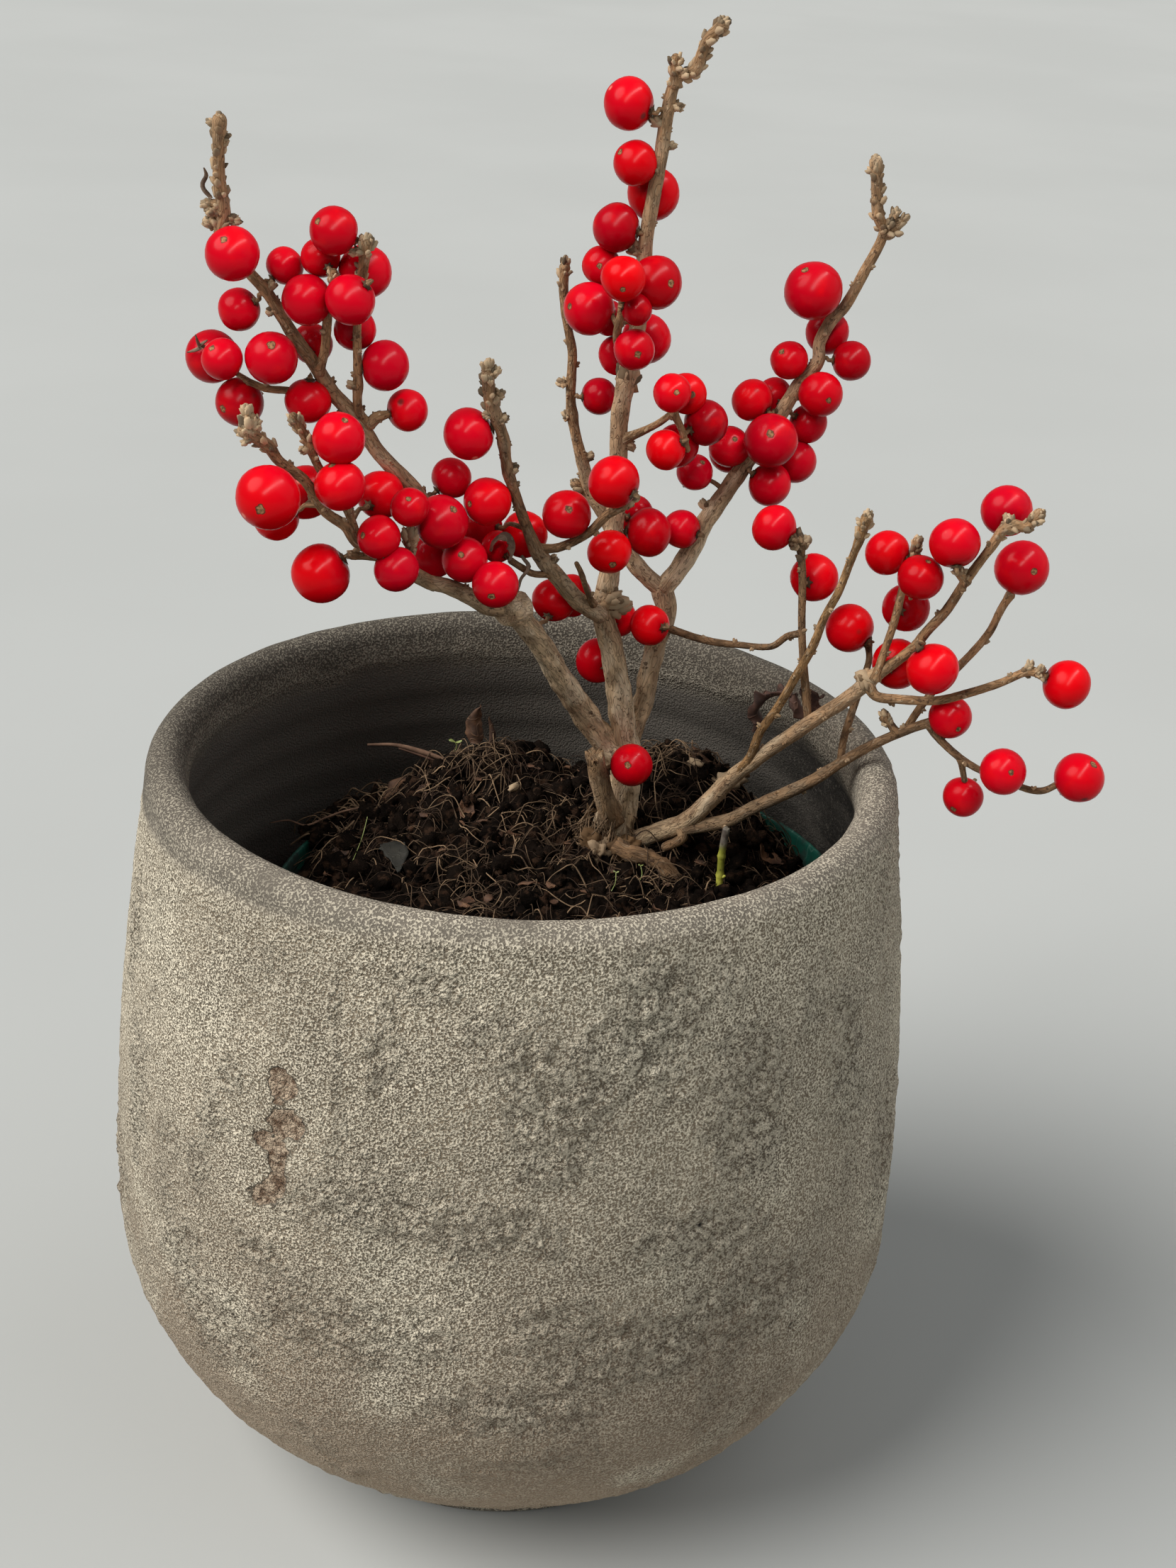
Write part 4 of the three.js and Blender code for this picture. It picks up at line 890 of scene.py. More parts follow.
def bark_material(name, young, old, bud):
    """Bark of a young twig or of old wood, by its age, with lenticels, fissures and paler buds"""
    material, tree = new_material(name, old)
    skin = attribute(tree, "skin", "Vector")
    age = attribute(tree, "age")

    def drawn_out(share):
        return scaled(tree, skin, (1, 1, share))

    long_skin = drawn_out(0.3)
    young_colour = mottled(tree, drawn_out(0.4), 0.7, darker(young, 0.55), darker(young, 1.35))
    colour = mottled(tree, long_skin, 0.8, darker(old, 0.62), darker(old, 1.3))
    silver = ramped(tree, clouds(tree, drawn_out(0.45), 0.3, 5), 0.45, 0.62)
    colour = laid(tree, colour, silver, 0.8, (0.92, 0.73, 0.50))
    rusty = ramped(tree, clouds(tree, drawn_out(0.25), 0.22), 0.47, 0.6)
    colour = laid(tree, colour, rusty, 0.6, (0.31, 0.18, 0.10))
    colour = mixed(tree, age, young_colour, colour)
    # Painted light: warm pale patches along the bark where sun seems to fall
    painted_sun_patches = ramped(tree, clouds(tree, long_skin, 1.7), 0.56, 0.7)
    colour = laid(tree, colour, painted_sun_patches, 0.45, (0.54, 0.405, 0.265))
    fissures = worm_lines(tree, long_skin, 1.3, 0.035)
    colour = laid(tree, colour, fissures, ramped(tree, age, 0, 1, 0.25, 0.42), darker(young, 0.25))
    scabs = ramped(tree, clouds(tree, drawn_out(0.9), 0.9, 4), 0.62, 0.70)
    colour = laid(tree, colour, scabs, 0.75, (0.085, 0.045, 0.026))
    lenticels = speckles(tree, drawn_out(0.8), 0.9, 0.25)
    colour = laid(tree, colour, lenticels, 0.6, bud)
    wool = ramped(tree, clouds(tree, skin, 2.3), 0.35, 0.62)
    bud_colour = mixed(tree, wool, darker(bud, 0.22), darker(bud, 1.25))
    colour = mixed(tree, attribute(tree, "bud"), colour, bud_colour)
    colour = mixed(tree, attribute(tree, "dark"), colour, (0.028, 0.018, 0.013))
    height = worked(tree, "SUBTRACT", clouds(tree, long_skin, 2.6, 5), times(tree, fissures, 0.5))
    height = plus(tree, height, times(tree, scabs, 0.4))
    height = plus(tree, height, times(tree, lenticels, 0.5))
    surface(tree, colour, 0.85, 0.25, height, 0.3)
    return material


def berry_material(plant):
    """Waxy red skin, scarlet or crimson, deeper round the base, with an olive-brown scar at the apex"""
    material, tree = new_material("berry skin", plant.berry)
    place = object_place(tree)
    flesh = mixed(tree, attribute(tree, "tone"), plant.deep_berry, plant.berry)
    pinker = ramped(tree, clouds(tree, place, 24, 1), 0.4, 0.6, 0, 0.6)
    flesh = mixed(tree, pinker, flesh, (0.36, 0.0008, 0.010))
    brighter = ramped(tree, clouds(tree, place, 230), 0.5, 0.75, 0, 0.4)
    flesh = mixed(tree, brighter, flesh, (0.51, 0.0024, 0.0032))
    flesh = laid(tree, flesh, attribute(tree, "base"), 0.6, darker(plant.deep_berry, 0.8))
    flesh = laid(tree, flesh, speckles(tree, place, 420, 0.02), 0.45, (0.75, 0.32, 0.22))
    flesh = laid(tree, flesh, speckles(tree, place, 300, 0.02), 0.9, (0.09, 0.012, 0.01))
    scar = attribute(tree, "scar")
    ring = mixed(tree, ramped(tree, scar, 0.12, 0.42), flesh, (0.075, 0.015, 0.008))
    olive = mottled(tree, place, 1900, darker(plant.scar, 0.4), darker(plant.scar, 1.9))
    colour = mixed(tree, ramped(tree, scar, 0.5, 0.8), ring, olive)
    waxy = ramped(tree, clouds(tree, place, 330), 0.3, 0.7, 0.20, 0.27)
    roughness = plus(tree, waxy, times(tree, scar, 0.5))
    height = worked(tree, "SUBTRACT", clouds(tree, place, 260), times(tree, scar, 1.5))
    surface(tree, colour, roughness, 0.08, height, 0.025)
    return material


def leaf_material(name, low, high, vein):
    """A dry leaf, patchy, with finer veins in another tone"""
    material, tree = new_material(name, high)
    place = object_place(tree)
    veins = worm_lines(tree, place, 340, 0.03)
    colour = laid(tree, mottled(tree, place, 260, low, high), veins, 0.6, vein)
    height = plus(tree, veins, clouds(tree, place, 800, 5))
    surface(tree, colour, 0.75, height=height, depth=0.12)
    return material


def fibre_material(name, low, high):
    """Roots and fibres, each lighter or darker than the next"""
    material, tree = new_material(name, high)
    place = object_place(tree)
    dimmer = ramped(tree, clouds(tree, place, 420), 0.35, 0.7, 0, 0.6)
    colour = mixed(tree, dimmer, mixed(tree, attribute(tree, "tone"), low, high), darker(low, 0.6))
    surface(tree, colour, 0.85, 0.3, clouds(tree, place, 2600), 0.08)
    return material


def stick_material():
    """A cut green shoot, weathered grey at its top"""
    material, tree = new_material("green cut shoot", (0.3, 0.32, 0.04))
    place = object_place(tree)
    height = put(tree, "SeparateXYZ", {0: place}).outputs[2]
    green = mottled(tree, place, 300, (0.20, 0.21, 0.02), (0.52, 0.50, 0.07))
    grey = mottled(tree, place, 500, (0.09, 0.07, 0.055), (0.27, 0.24, 0.19))
    colour = mixed(tree, ramped(tree, height, 0.1372, 0.1395), green, grey)
    marks = speckles(tree, place, 1100, 0.25)
    colour = laid(tree, colour, marks, 0.7, (0.06, 0.05, 0.02))
    surface(tree, colour, 0.6, height=clouds(tree, place, 1500), depth=0.08)
    return material


def stage_material():
    """Plain pale grey"""
    material, tree = new_material("pale floor", (0.6, 0.6, 0.6))
    colour = mottled(tree, object_place(tree), 3, (0.475, 0.483, 0.468), (0.495, 0.503, 0.488))
    surface(tree, colour, 0.9, 0.1)
    return material


# The pots
def marks_at(angle, height, marks):
    """How much a place on the planter's wall is inside the marks, from 0 to 1, with ragged edges"""
    found = 0
    for degrees, middle, half_width, half_height in marks:
        turn = atan2(sin(angle - radians(degrees)), cos(angle - radians(degrees)))
        across = turn * BELLY_RADIUS / half_width
        along = (height - middle) / half_height
        if abs(across) < 2 and abs(along) < 2:
            ragged = 0.5 * noise(Vector((turn * 22, height * 0.27, degrees)))
            ragged += 0.3 * noise(Vector((turn * 75, height * 0.9, degrees)))
            found = max(found, blend(1.5, 0.5, hypot(across, along) + ragged))
    return found


def planter_zone(place, angle):
    """How much a place is on the charcoal inside and how much on the smooth rim or foot"""
    radius = hypot(place.x, place.y)
    middle = RIM_RADIUS if place.z > RIM_LOW else wall_radius(place.z) - 3
    ragged = 3 * noise(Vector((sin(angle) * 6, cos(angle) * 6, place.z * 0.12)))
    if radius < middle and place.z > PLANTER_FLOOR - 1:
        inside = blend(CHARCOAL_EDGE[0] + ragged, CHARCOAL_EDGE[1] + ragged, place.z)
        return inside, 1 - inside
    lower_on_left = 7 * min(0, sin(angle))
    edge = 0.12 * ragged + lower_on_left
    rim = blend(BARE_RIM[0] + edge, BARE_RIM[1] + edge, place.z)
    foot = blend(FOOT_HEIGHT + 2.2, FOOT_HEIGHT + 0.6, place.z)
    return 0, max(rim, foot)


def wall_radius(height):
    """The radius of the planter's outside at a height, straight between its places"""
    for (inset, low), (next_inset, high) in zip(OUTER_WALL, OUTER_WALL[1:]):
        if low <= height <= high:
            return BELLY_RADIUS - inset - (next_inset - inset) * (height - low) / (high - low)
    return BELLY_RADIUS - (OUTER_WALL[0][0] if height < OUTER_WALL[0][1] else OUTER_WALL[-1][0])


def planter_rows():
    """The planter's profile: from its underside's middle up its outside, then over its rim to its floor"""
    rim_radius = BELLY_RADIUS - OUTER_WALL[-1][0]
    outer = spaced([(BELLY_RADIUS - inset, height) for inset, height in OUTER_WALL], 0.95)
    inner = spaced([(BELLY_RADIUS - inset, height) for inset, height in INNER_WALL], 3)
    rim = []
    for degrees in range(12, 169, 13):
        angle = radians(degrees)
        rim.append((rim_radius - RIM_HALF_WIDTH * (1 - cos(angle)),
                    PLANTER_HEIGHT - RIM_ROUNDING * (1 - sin(angle))))
    floor = [(radius, PLANTER_FLOOR) for radius in (FOOT_RADIUS, 25, 0)]
    return FOOT_PROFILE + outer, outer[-1:] + rim + inner + floor


def build_planter(pots):
    """The planter: a rough outside, a smooth thick rim, faint throwing rings inside and a recessed foot"""
    depth = pots.crust_depth / MM

    def roughness_at(place, angle):
        fuller_on_right = 0.35 * max(0, sin(angle))
        patchy = blend(0.16 - fuller_on_right, 0.46, noise(place * 0.055 + Vector((3, 7, 1))))
        return max(0.55 * patchy, marks_at(angle, place.z, CRUSTY_PATCHES))

    def values_at(place, angle):
        inside, bare = planter_zone(place, angle)
        found = {"rough": 0, "chip": 0, "pitted": 0, "bare": bare, "inside": inside}
        if not inside and place.z >= 1:
            found["rough"] = roughness_at(place, angle)
            found["chip"] = marks_at(angle, place.z, CHIPPED_PATCHES)
            found["pitted"] = marks_at(angle, place.z, PITS)
        return found

    def relief(place, angle, row):
        inside, bare = planter_zone(place, angle)
        if place.z < 1:
            return 0
        ring = THROWING_RING * inside * sin(place.z * 0.62 + 2.5 * noise(place * 0.012))
        if inside:
            return ring + 0.3 * noise(place * 0.06)
        slow = 0.35 * noise(place * 0.022) + 0.16 * noise(place * 0.11)
        skin = (1 - bare) * (0.26 * noise(place * 0.33) + 0.15 * noise(place * 0.7))
        rough = (1 - bare) * roughness_at(place, angle)
        lumps = 0.8 * noise(place * 0.3 + Vector((9, 2, 5))) + 0.8 * noise(place * 0.56)
        chip = marks_at(angle, place.z, CHIPPED_PATCHES)
        pit = marks_at(angle, place.z, PITS)
        chipped = chip * (0.45 + 0.35 * noise(place * 0.5))
        return slow + skin + depth * rough * lumps - chipped - 1.1 * pit - 0.25

    material = stoneware_material(pots)
    for name, rows in zip(("planter_outside", "planter_rim_and_inside"), planter_rows()):
        shape = Shape(rough=0, chip=0, pitted=0, bare=0, inside=0)
        add_turned(shape, rows, PLANTER_SIDES, (0, 0), relief, values_at)
        make_piece(name, shape, material, "stoneware", "planter")


def build_nursery_pot(pots):
    """The nursery pot: a thin tapered wall with a rounded lip, a little out of round and leaning"""
    base = NURSERY_LOW[2]
    lip_bottom = NURSERY_RIM - NURSERY_LIP_HEIGHT
    wall_top = NURSERY_RADIUS - NURSERY_LIP
    outer = spaced([(NURSERY_BASE_RADIUS, base + 0.8), (wall_top, lip_bottom)], 4)
    inner = spaced([(wall_top - NURSERY_WALL, lip_bottom - 1),
                    (NURSERY_BASE_RADIUS - NURSERY_WALL, base + 2)], 4)
    lip = [(NURSERY_RADIUS - 0.5, lip_bottom + 0.1), (NURSERY_RADIUS - 0.15, lip_bottom + 0.6),
           (NURSERY_RADIUS, NURSERY_RIM - 1.2), (NURSERY_RADIUS - 0.15, NURSERY_RIM - 0.4),
           (NURSERY_RADIUS - 0.6, NURSERY_RIM), (NURSERY_RADIUS - 1.05, NURSERY_RIM - 0.35),
           (NURSERY_RADIUS - 1.2, NURSERY_RIM - 1.2), (NURSERY_RADIUS - 1.4, NURSERY_RIM - 3.4)]
    floor = base + NURSERY_WALL
    rows = [(0, base), (NURSERY_BASE_RADIUS - 1, base)] + outer + lip + inner + [(20, floor), (0, floor)]
    shape = Shape()

    def relief(place, angle, row):
        return 0.25 * noise(Vector((cos(angle) * 2, sin(angle) * 2, place.z * 0.02)))

    add_turned(shape, rows, NURSERY_SIDES, NURSERY_MIDDLE, relief)
    for point in shape.points:
        point.z += NURSERY_LEAN * (point.x - MIDDLE_X) * blend(*LEANING_PART, point.z)
    make_piece("nursery_pot_wall", shape, plastic_material(pots), "teal_plastic", "nursery_pot")


# The soil and what lies on it
def soil_height(x, y):
    """The height of the soil at a place from the nursery pot's middle: a mound with two humps at the back"""
    reach = hypot(x, y) / NURSERY_RADIUS
    mound = SOIL_MOUND * (1 - reach ** 2.2)
    back = SOIL_BACK_RISE * blend(0, 46, y)
    for hump_x, hump_y, rise in SOIL_HUMPS:
        back += rise * exp(-((x - hump_x) ** 2 + (y - hump_y) ** 2) / (2 * HUMP_SPREAD ** 2))
    return NURSERY_RIM - SOIL_EDGE_DROP + mound + back * min(1, 5 * (1 - reach))


def soil_top(x, y):
    """The same with the clods and crumbs of the peat"""
    place = Vector((x, y, 0))
    clods = 2.2 * noise(place * 0.12) + 1.9 * noise(place * 0.25 + Vector((5, 1, 2)))
    crumbs = 1.1 * noise(place * 0.6) + 0.5 * noise(place * 1.3)
    away = (x - BACK_DENT[0]) ** 2 + (y - BACK_DENT[1]) ** 2
    dent = DENT_DEPTH * exp(-away / (2 * DENT_SPREAD ** 2))
    reach = hypot(x, y) / SOIL_RADIUS
    banked = 0.05 * max(0, x) * reach ** 2
    return soil_height(x, y) - dent + banked + (clods + crumbs) * min(1, 0.25 + 4 * (1 - reach))


def on_soil(x, y, above=0):
    """A place on the soil, or above it, in the part's frame"""
    return Vector((x, y, soil_top(x - MIDDLE_X, y - MIDDLE_Y) + above))


def build_soil(pots):
    """The ball of peat, with a crumbly top"""
    base_radius = NURSERY_BASE_RADIUS - 2
    rows = [(0, SOIL_LOW), (base_radius * 0.6, SOIL_LOW), (base_radius, SOIL_LOW)]
    for share in (0.3, 0.6, 0.9):
        rows.append((base_radius + (SOIL_RADIUS - base_radius) * share, SOIL_LOW + 100 * share))
    start = len(rows)
    rows += [(SOIL_RADIUS * (1 - ring / SOIL_RINGS), SOIL_BRIM) for ring in range(SOIL_RINGS)]
    rows.append((0, soil_top(0, 0)))
    shape = Shape()

    def relief(place, angle, row):
        if row < start:
            return 0
        x, y = place.x - MIDDLE_X, place.y - MIDDLE_Y
        return soil_top(x, y) - place.z

    add_turned(shape, rows, SOIL_SIDES, NURSERY_MIDDLE, relief)
    make_piece("soil_bed", shape, peat_material(pots), "peat", "soil")


def random_soil_place(rng, limit=0.97):
    """A random place on the soil, in the part's frame: patchy, and more of them at the back"""
    while True:
        angle = rng.uniform(0, 2 * pi)
        reach = SOIL_RADIUS * limit * sqrt(rng.random())
        x, y = reach * cos(angle), reach * sin(angle)
        thick = 0.45 + 0.9 * noise(Vector((x * 0.05, y * 0.05, 4)))
        if rng.random() < max(0.25, thick + 0.3 * (y > 10)):
            return MIDDLE_X + x, MIDDLE_Y + y


def spilled_place(rng):
    """A place on the stretch of the nursery pot's rim that soil and roots spill over"""
    turn = radians(rng.uniform(*SPILL_STRETCH))
    reach = NURSERY_RADIUS - rng.uniform(-1.5, 5)
    x, y = reach * cos(turn), reach * sin(turn)
    return Vector((MIDDLE_X + x, MIDDLE_Y + y, NURSERY_RIM + NURSERY_LEAN * x + 0.6))


def build_crumbs(pots):
    """Crumbs and clods of peat that lie on the soil and spill over the nursery pot's rim"""
    rng = random.Random(11)
    shape = Shape()
    for i in range(pots.crumb_count):
        x, y = random_soil_place(rng)
        size = 0.35 + 2.1 * rng.random() ** 4
        way = (rng.uniform(-1, 1), rng.uniform(-1, 1), rng.uniform(0.2, 1))
        rows, sides = (4, 5) if size < 0.7 else (5, 7) if size < 1.4 else (6, 9)
        stretch = rng.uniform(0.6, 1.3)
        add_ball(shape, on_soil(x, y, size * 0.3), way, size, stretch, rows, sides, 0.9, seed=i)
    for i in range(SPILLED_CRUMBS):
        size = 0.7 + 1.7 * rng.random() ** 2
        spot = spilled_place(rng) + Vector((0, 0, rng.uniform(-1.5, 1.2)))
        add_ball(shape, spot, any_way(rng), size, rng.uniform(0.7, 1.3), 6, 8, 0.6, seed=i)
    make_piece("peat_crumbs", shape, peat_material(pots), "peat")


def add_fibre(shape, rng, spot, length, radius, lift, tone, sides=4, lead=2.2):
    """A root that arches over the soil from a spot in the part's frame, up to a lift above it"""
    x, y = spot
    heading = rng.uniform(0, 2 * pi)
    turn = rng.uniform(-0.35, 0.35)
    places = []
    count = max(4, round(length / lead))
    arch = rng.uniform(0.3, 1) * lift
    for i in range(count + 1):
        if hypot(x - MIDDLE_X, y - MIDDLE_Y) > SOIL_RADIUS * 0.96:
            heading = atan2(MIDDLE_Y - y, MIDDLE_X - x)
        height = arch * sin(pi * i / count) + rng.uniform(0, 0.5) - (0.6 if i in (0, count) else 0)
        places.append((*on_soil(x, y, height), radius * (1 - 0.5 * i / count)))
        turn = 0.75 * turn + rng.uniform(-0.42, 0.42)
        heading += turn
        stride = length / count
        x += stride * cos(heading)
        y += stride * sin(heading)
    add_tube(shape, smooth_path(places, 1.1), sides, tone=tone)


def add_spilled_root(shape, rng):
    """A root that crosses the nursery pot's rim"""
    spot = spilled_place(rng)
    way = Vector((spot.x - MIDDLE_X, spot.y - MIDDLE_Y, 0)).normalized()
    side = Vector((-way.y, way.x, 0)) * rng.uniform(-0.9, 0.9)
    radius = rng.uniform(0.1, 0.24)
    places = []
    over, past = rng.uniform(1, 3), rng.uniform(-0.5, 2)
    for reach, rise in ((-7, -0.5), (-3.5, 1.2), (0, over), (3, past), (5.5, -1.5)):
        jitter = any_way(rng) * 0.9
        places.append((*(spot + (way + side) * reach * 0.8 + Vector((0, 0, rise)) + jitter), radius))
    add_tube(shape, smooth_path(places, 0.75), 4, tone=rng.random())


def add_collar_root(shape, rng):
    """A fibre of the dry collar round the foot of the trunk"""
    turn = rng.uniform(0, 2 * pi)
    lean = rng.uniform(-1.7, 1.7)
    top = rng.uniform(1.5, 9)
    foot = rng.uniform(6, 9.5)
    places = []
    for share in (0, 0.3, 0.6, 1):
        reach = foot + (4.3 - foot) * share ** 0.7 + rng.uniform(0, 0.9)
        angle = turn + lean * share
        x, y = TRUNK_FOOT[0] + reach * cos(angle), TRUNK_FOOT[1] + reach * sin(angle)
        places.append((*on_soil(x, y, top * share ** 1.4 - 0.3), 0.24 * (1 - 0.5 * share)))
    add_tube(shape, smooth_path(places, 1), 4, tone=rng.uniform(0.25, 1))


def build_rootlets(pots):
    """Fine curled roots all over the soil, pale to dark, tufts of them and a collar round the trunk"""
    rng = random.Random(23)
    shape = Shape(tone=0)
    for _ in range(pots.rootlet_count):
        spot = random_soil_place(rng)
        pale = rng.random() ** 4.2
        radius = rng.uniform(0.07, 0.13) + 0.1 * pale
        add_fibre(shape, rng, spot, rng.uniform(4, 15), radius, rng.uniform(0.3, 2.6), pale)
    material = fibre_material("rootlet skin", (0.038, 0.020, 0.0105), (0.36, 0.235, 0.135))
    make_piece("rootlets", shape, material, "bark")
    tufts = Shape(tone=0)
    for x, y, spread, count in ROOT_TUFTS:
        for _ in range(count):
            spot = (rng.gauss(x, spread), rng.gauss(y, spread * 0.7))
            pale = rng.random() ** 2
            length, radius = rng.uniform(6, 15), rng.uniform(0.1, 0.22)
            add_fibre(tufts, rng, spot, length, radius, rng.uniform(1.5, 5.5), pale)
    for _ in range(SPILLED_ROOTS):
        add_spilled_root(tufts, rng)
    for _ in range(COLLAR_ROOTS):
        add_collar_root(tufts, rng)
    make_piece("root_tufts", tufts, material, "bark")


# Brown dead leaves on the soil as (x, y, half length, half width)
LEAF_LITTER = [(-31, 41, 3.4, 2.2), (-13, 25, 3, 1.8), (-24, 32, 3.2, 1.6), (-40, 20, 2.6, 1.7),
               (55, 22, 3, 1.6), (40, 40, 4, 2.4), (2, -3, 2.6, 1.4), (48, 2, 2.8, 1.8), (-6, 12, 2.2, 1.5),
               (30, -8, 2.6, 1.6), (12, -30, 3.2, 2), (-20, -22, 3.4, 2)]


def build_leaf_litter(rng):
    """A grey dead leaf, and brown ones with shreds and curled bits of more"""
    grey = Shape()
    places = [(-31, 15.5, 129, 0.5), (-28.5, 13.5, 129.7, 3), (-27, 9.5, 129.8, 2.4), (-26, 4.5, 128.6, 0.3)]
    add_blade(grey, places, (1, 0.35, 0.1), 0.15, 0.6, seed=1)
    colours = (0.013, 0.012, 0.008), (0.029, 0.026, 0.018), (0.042, 0.038, 0.027)
    make_piece("grey_dead_leaf", grey, leaf_material("grey dead leaf", *colours), "bark")
    brown = Shape()
    for i, (x, y, reach, width) in enumerate(LEAF_LITTER):
        heading = rng.uniform(0, 2 * pi)
        way = Vector((cos(heading), sin(heading), 0))
        places = []
        for share, half in ((-1, 0.15), (-0.4, 0.9), (0.3, 1), (1, 0.1)):
            spot = Vector((x, y, 0)) + way * reach * share
            places.append((*on_soil(spot.x, spot.y, 0.8 + 0.5 * share * share), width * half))
        add_blade(brown, places, (-way.y, way.x, 0.25), rng.uniform(-0.4, 0.5), 1.1, seed=i)
    for i in range(LEAF_SHREDS):
        x, y = random_soil_place(rng, 0.93)
        heading = rng.uniform(0, 2 * pi)
        way = Vector((cos(heading), sin(heading), rng.uniform(-0.2, 0.5))) * rng.uniform(0.8, 2)
        width = rng.uniform(0.4, 1.2)
        places = [(*(on_soil(x, y, 1.1) + way * share), width * half)
                  for share, half in ((-1, 0.3), (-0.3, 1), (0.4, 0.8), (1, 0.15))]
        sideways = (-way.y, way.x, rng.uniform(-0.5, 0.5))
        add_blade(brown, places, sideways, rng.uniform(-0.5, 0.5), 0.9, columns=4, step=0.8, seed=40 + i)
    curled = [(-12.5, 46, 140.5, 1.2), (-12.7, 46.5, 143, 2.4), (-13, 47, 146, 1.7), (-12, 47.2, 149.5, 0.2)]
    add_blade(brown, curled, (1, 0.5, 0), 0.6, 1.8, seed=31)
    thin = [(-9.5, 45, 140, 0.5), (-9, 45.4, 143, 0.8), (-10, 45.6, 147.5, 0.15)]
    add_blade(brown, thin, (1, 0, 0), 0.5, 0.7, seed=33)
    colours = (0.040, 0.017, 0.008), (0.145, 0.065, 0.028), (0.21, 0.11, 0.055)
    make_piece("brown_dead_leaves", brown, leaf_material("brown dead leaf", *colours), "bark")


def build_bark_chips(plant):
    """Chips of bark on the soil, and gnarled knobs at the foot of the trunk"""
    chips = Shape(skin=(0, 0, 0), age=1, bud=0, dark=0)
    add_ball(chips, on_soil(44.5, 37, 1.5), (1, 0.1, 0.15), 2.2, 2.1, 12, 14, 0.45, seed=3)
    add_ball(chips, on_soil(37, 38, 1), (1, -0.4, 0.1), 1.3, 1.8, 10, 12, 0.5, seed=4)
    add_ball(chips, on_soil(-3, 30, 0.8), (0.5, 0.8, 0.1), 0.9, 2, 8, 10, 0.5, seed=5)
    pale = bark_material("pale bark chip", darker(plant.old_bark, 0.7), plant.old_bark, plant.bud)
    make_piece("bark_chips", chips, pale, "bark")
    crown = Shape(skin=(0, 0, 0), age=0, bud=0, dark=0)
    for i, (x, y, z, size) in enumerate(CROWN_KNOBS):
        way = Vector((x - TRUNK_FOOT[0], y - TRUNK_FOOT[1], 4))
        add_ball(crown, (x, y, z), way, size, 1.2, 14, 18, 0.75, seed=i + 2, skin=(5.0 * i, 2.0, 0.0))
    rough = bark_material("crown bark", (0.13, 0.072, 0.032), plant.old_bark, plant.bud)
    make_piece("crown_knobs", crown, rough, "bark")


def build_loose_roots(rng):
    """A long reddish root with thin branches, and a thin one at the side"""
    shape = Shape(tone=0)
    long_root = [(-37.5, 44, 139.5, 0.3), (-31, 43.6, 140, 0.45), (-25, 43, 139, 0.65),
                 (-19.5, 42.5, 137.5, 0.5)]
    add_tube(shape, smooth_path(long_root, 0.8), 7, tone=0.7)
    for offset in ((0, 0.8, -0.6), (1.5, -0.8, -1.1), (3, 0.6, -1.6), (4, -0.4, -2.2)):
        branch = [tuple(Vector(place[:3]) + Vector(offset) * (i + 1) * 0.5) + (place[3] * 0.5,)
                  for i, place in enumerate(long_root[1:])]
        add_tube(shape, smooth_path(branch, 0.9), 5, tone=rng.random())
    side_root = [(-58, 31, 124.6, 0.12), (-54, 32, 125, 0.2), (-50, 32, 124, 0.26), (-45.5, 34, 125.3, 0.28),
                 (-41, 36, 126.4, 0.3), (-35, 36, 127.6, 0.32), (-30, 34, 127, 0.3)]
    add_tube(shape, smooth_path(side_root, 0.8), 6, tone=0.9)
    reddish = fibre_material("reddish root", (0.085, 0.042, 0.026), (0.24, 0.14, 0.088))
    make_piece("long_loose_roots", shape, reddish, "bark")


def build_litter(plant):
    """What lies and sprouts on the soil"""
    rng = random.Random(5)
    build_leaf_litter(rng)
    build_bark_chips(plant)
    build_loose_roots(rng)
    build_seedlings()


def build_seedlings():
    """Pale green seedlings, each two small leaves on a thread of a stalk"""
    shape = Shape()
    seedlings = [((-37.5, 13, 124.5), (-35.5, 30, 129.5), 0.6),
                 ((-17.5, 43, 139.5), (-17.3, 42.6, 142), 0.95),
                 ((19.5, -3, 130.5), (20.5, 0, 134), 0.42), ((25.5, 2, 130.5), (25.8, 5.5, 133), 0.36),
                 ((52, 24, 124.5), (52.5, 25, 127.5), 0.5), ((-8, -28, 125.5), (-8.5, -27, 129.5), 0.6)]
    for foot, top, size in seedlings:
        foot, top = Vector(foot), Vector(top)
        bend = foot.lerp(top, 0.5) + Vector((0.5, -0.4, 0.3))
        stalk = [(*foot, 0.10), (*bend, 0.10), (*top, 0.09)]
        add_tube(shape, smooth_path(stalk, 0.8), 5)
        for way in (-1, 1):
            leaf = [(*(top + Vector((way * size * out, 0.1 * out, size * 0.35 * out))), size * half)
                    for out, half in ((0.05, 0.12), (0.6, 0.55), (1.15, 0.62), (1.6, 0.12))]
            add_blade(shape, leaf, (0, 1, 0), -0.2, 0.05, 0.16, 4, 0.4)
    material = leaf_material("seedling green", (0.20, 0.24, 0.06), (0.40, 0.45, 0.16), (0.45, 0.5, 0.25))
    make_piece("seedlings", shape, material, "green_stick")


# The plant
STUB = ("framework", 1)
CUT_KNOB = ("framework", 5)
SURFACE_ROOTS = (("framework", 2), ("framework", 3))
BARK_THICKNESS = 0.1
SHEATH_THICKNESS = 0.2
BUD_FULLNESS = 1.32
CALYX_SIDES = 12
SOIL_STAIN = 0.55
DARK_WOOD = {"lower_right_spray": 0.35, "low_twig": 0.3, "crossing_twig": 0.35, "front_left_spray": 0.2}
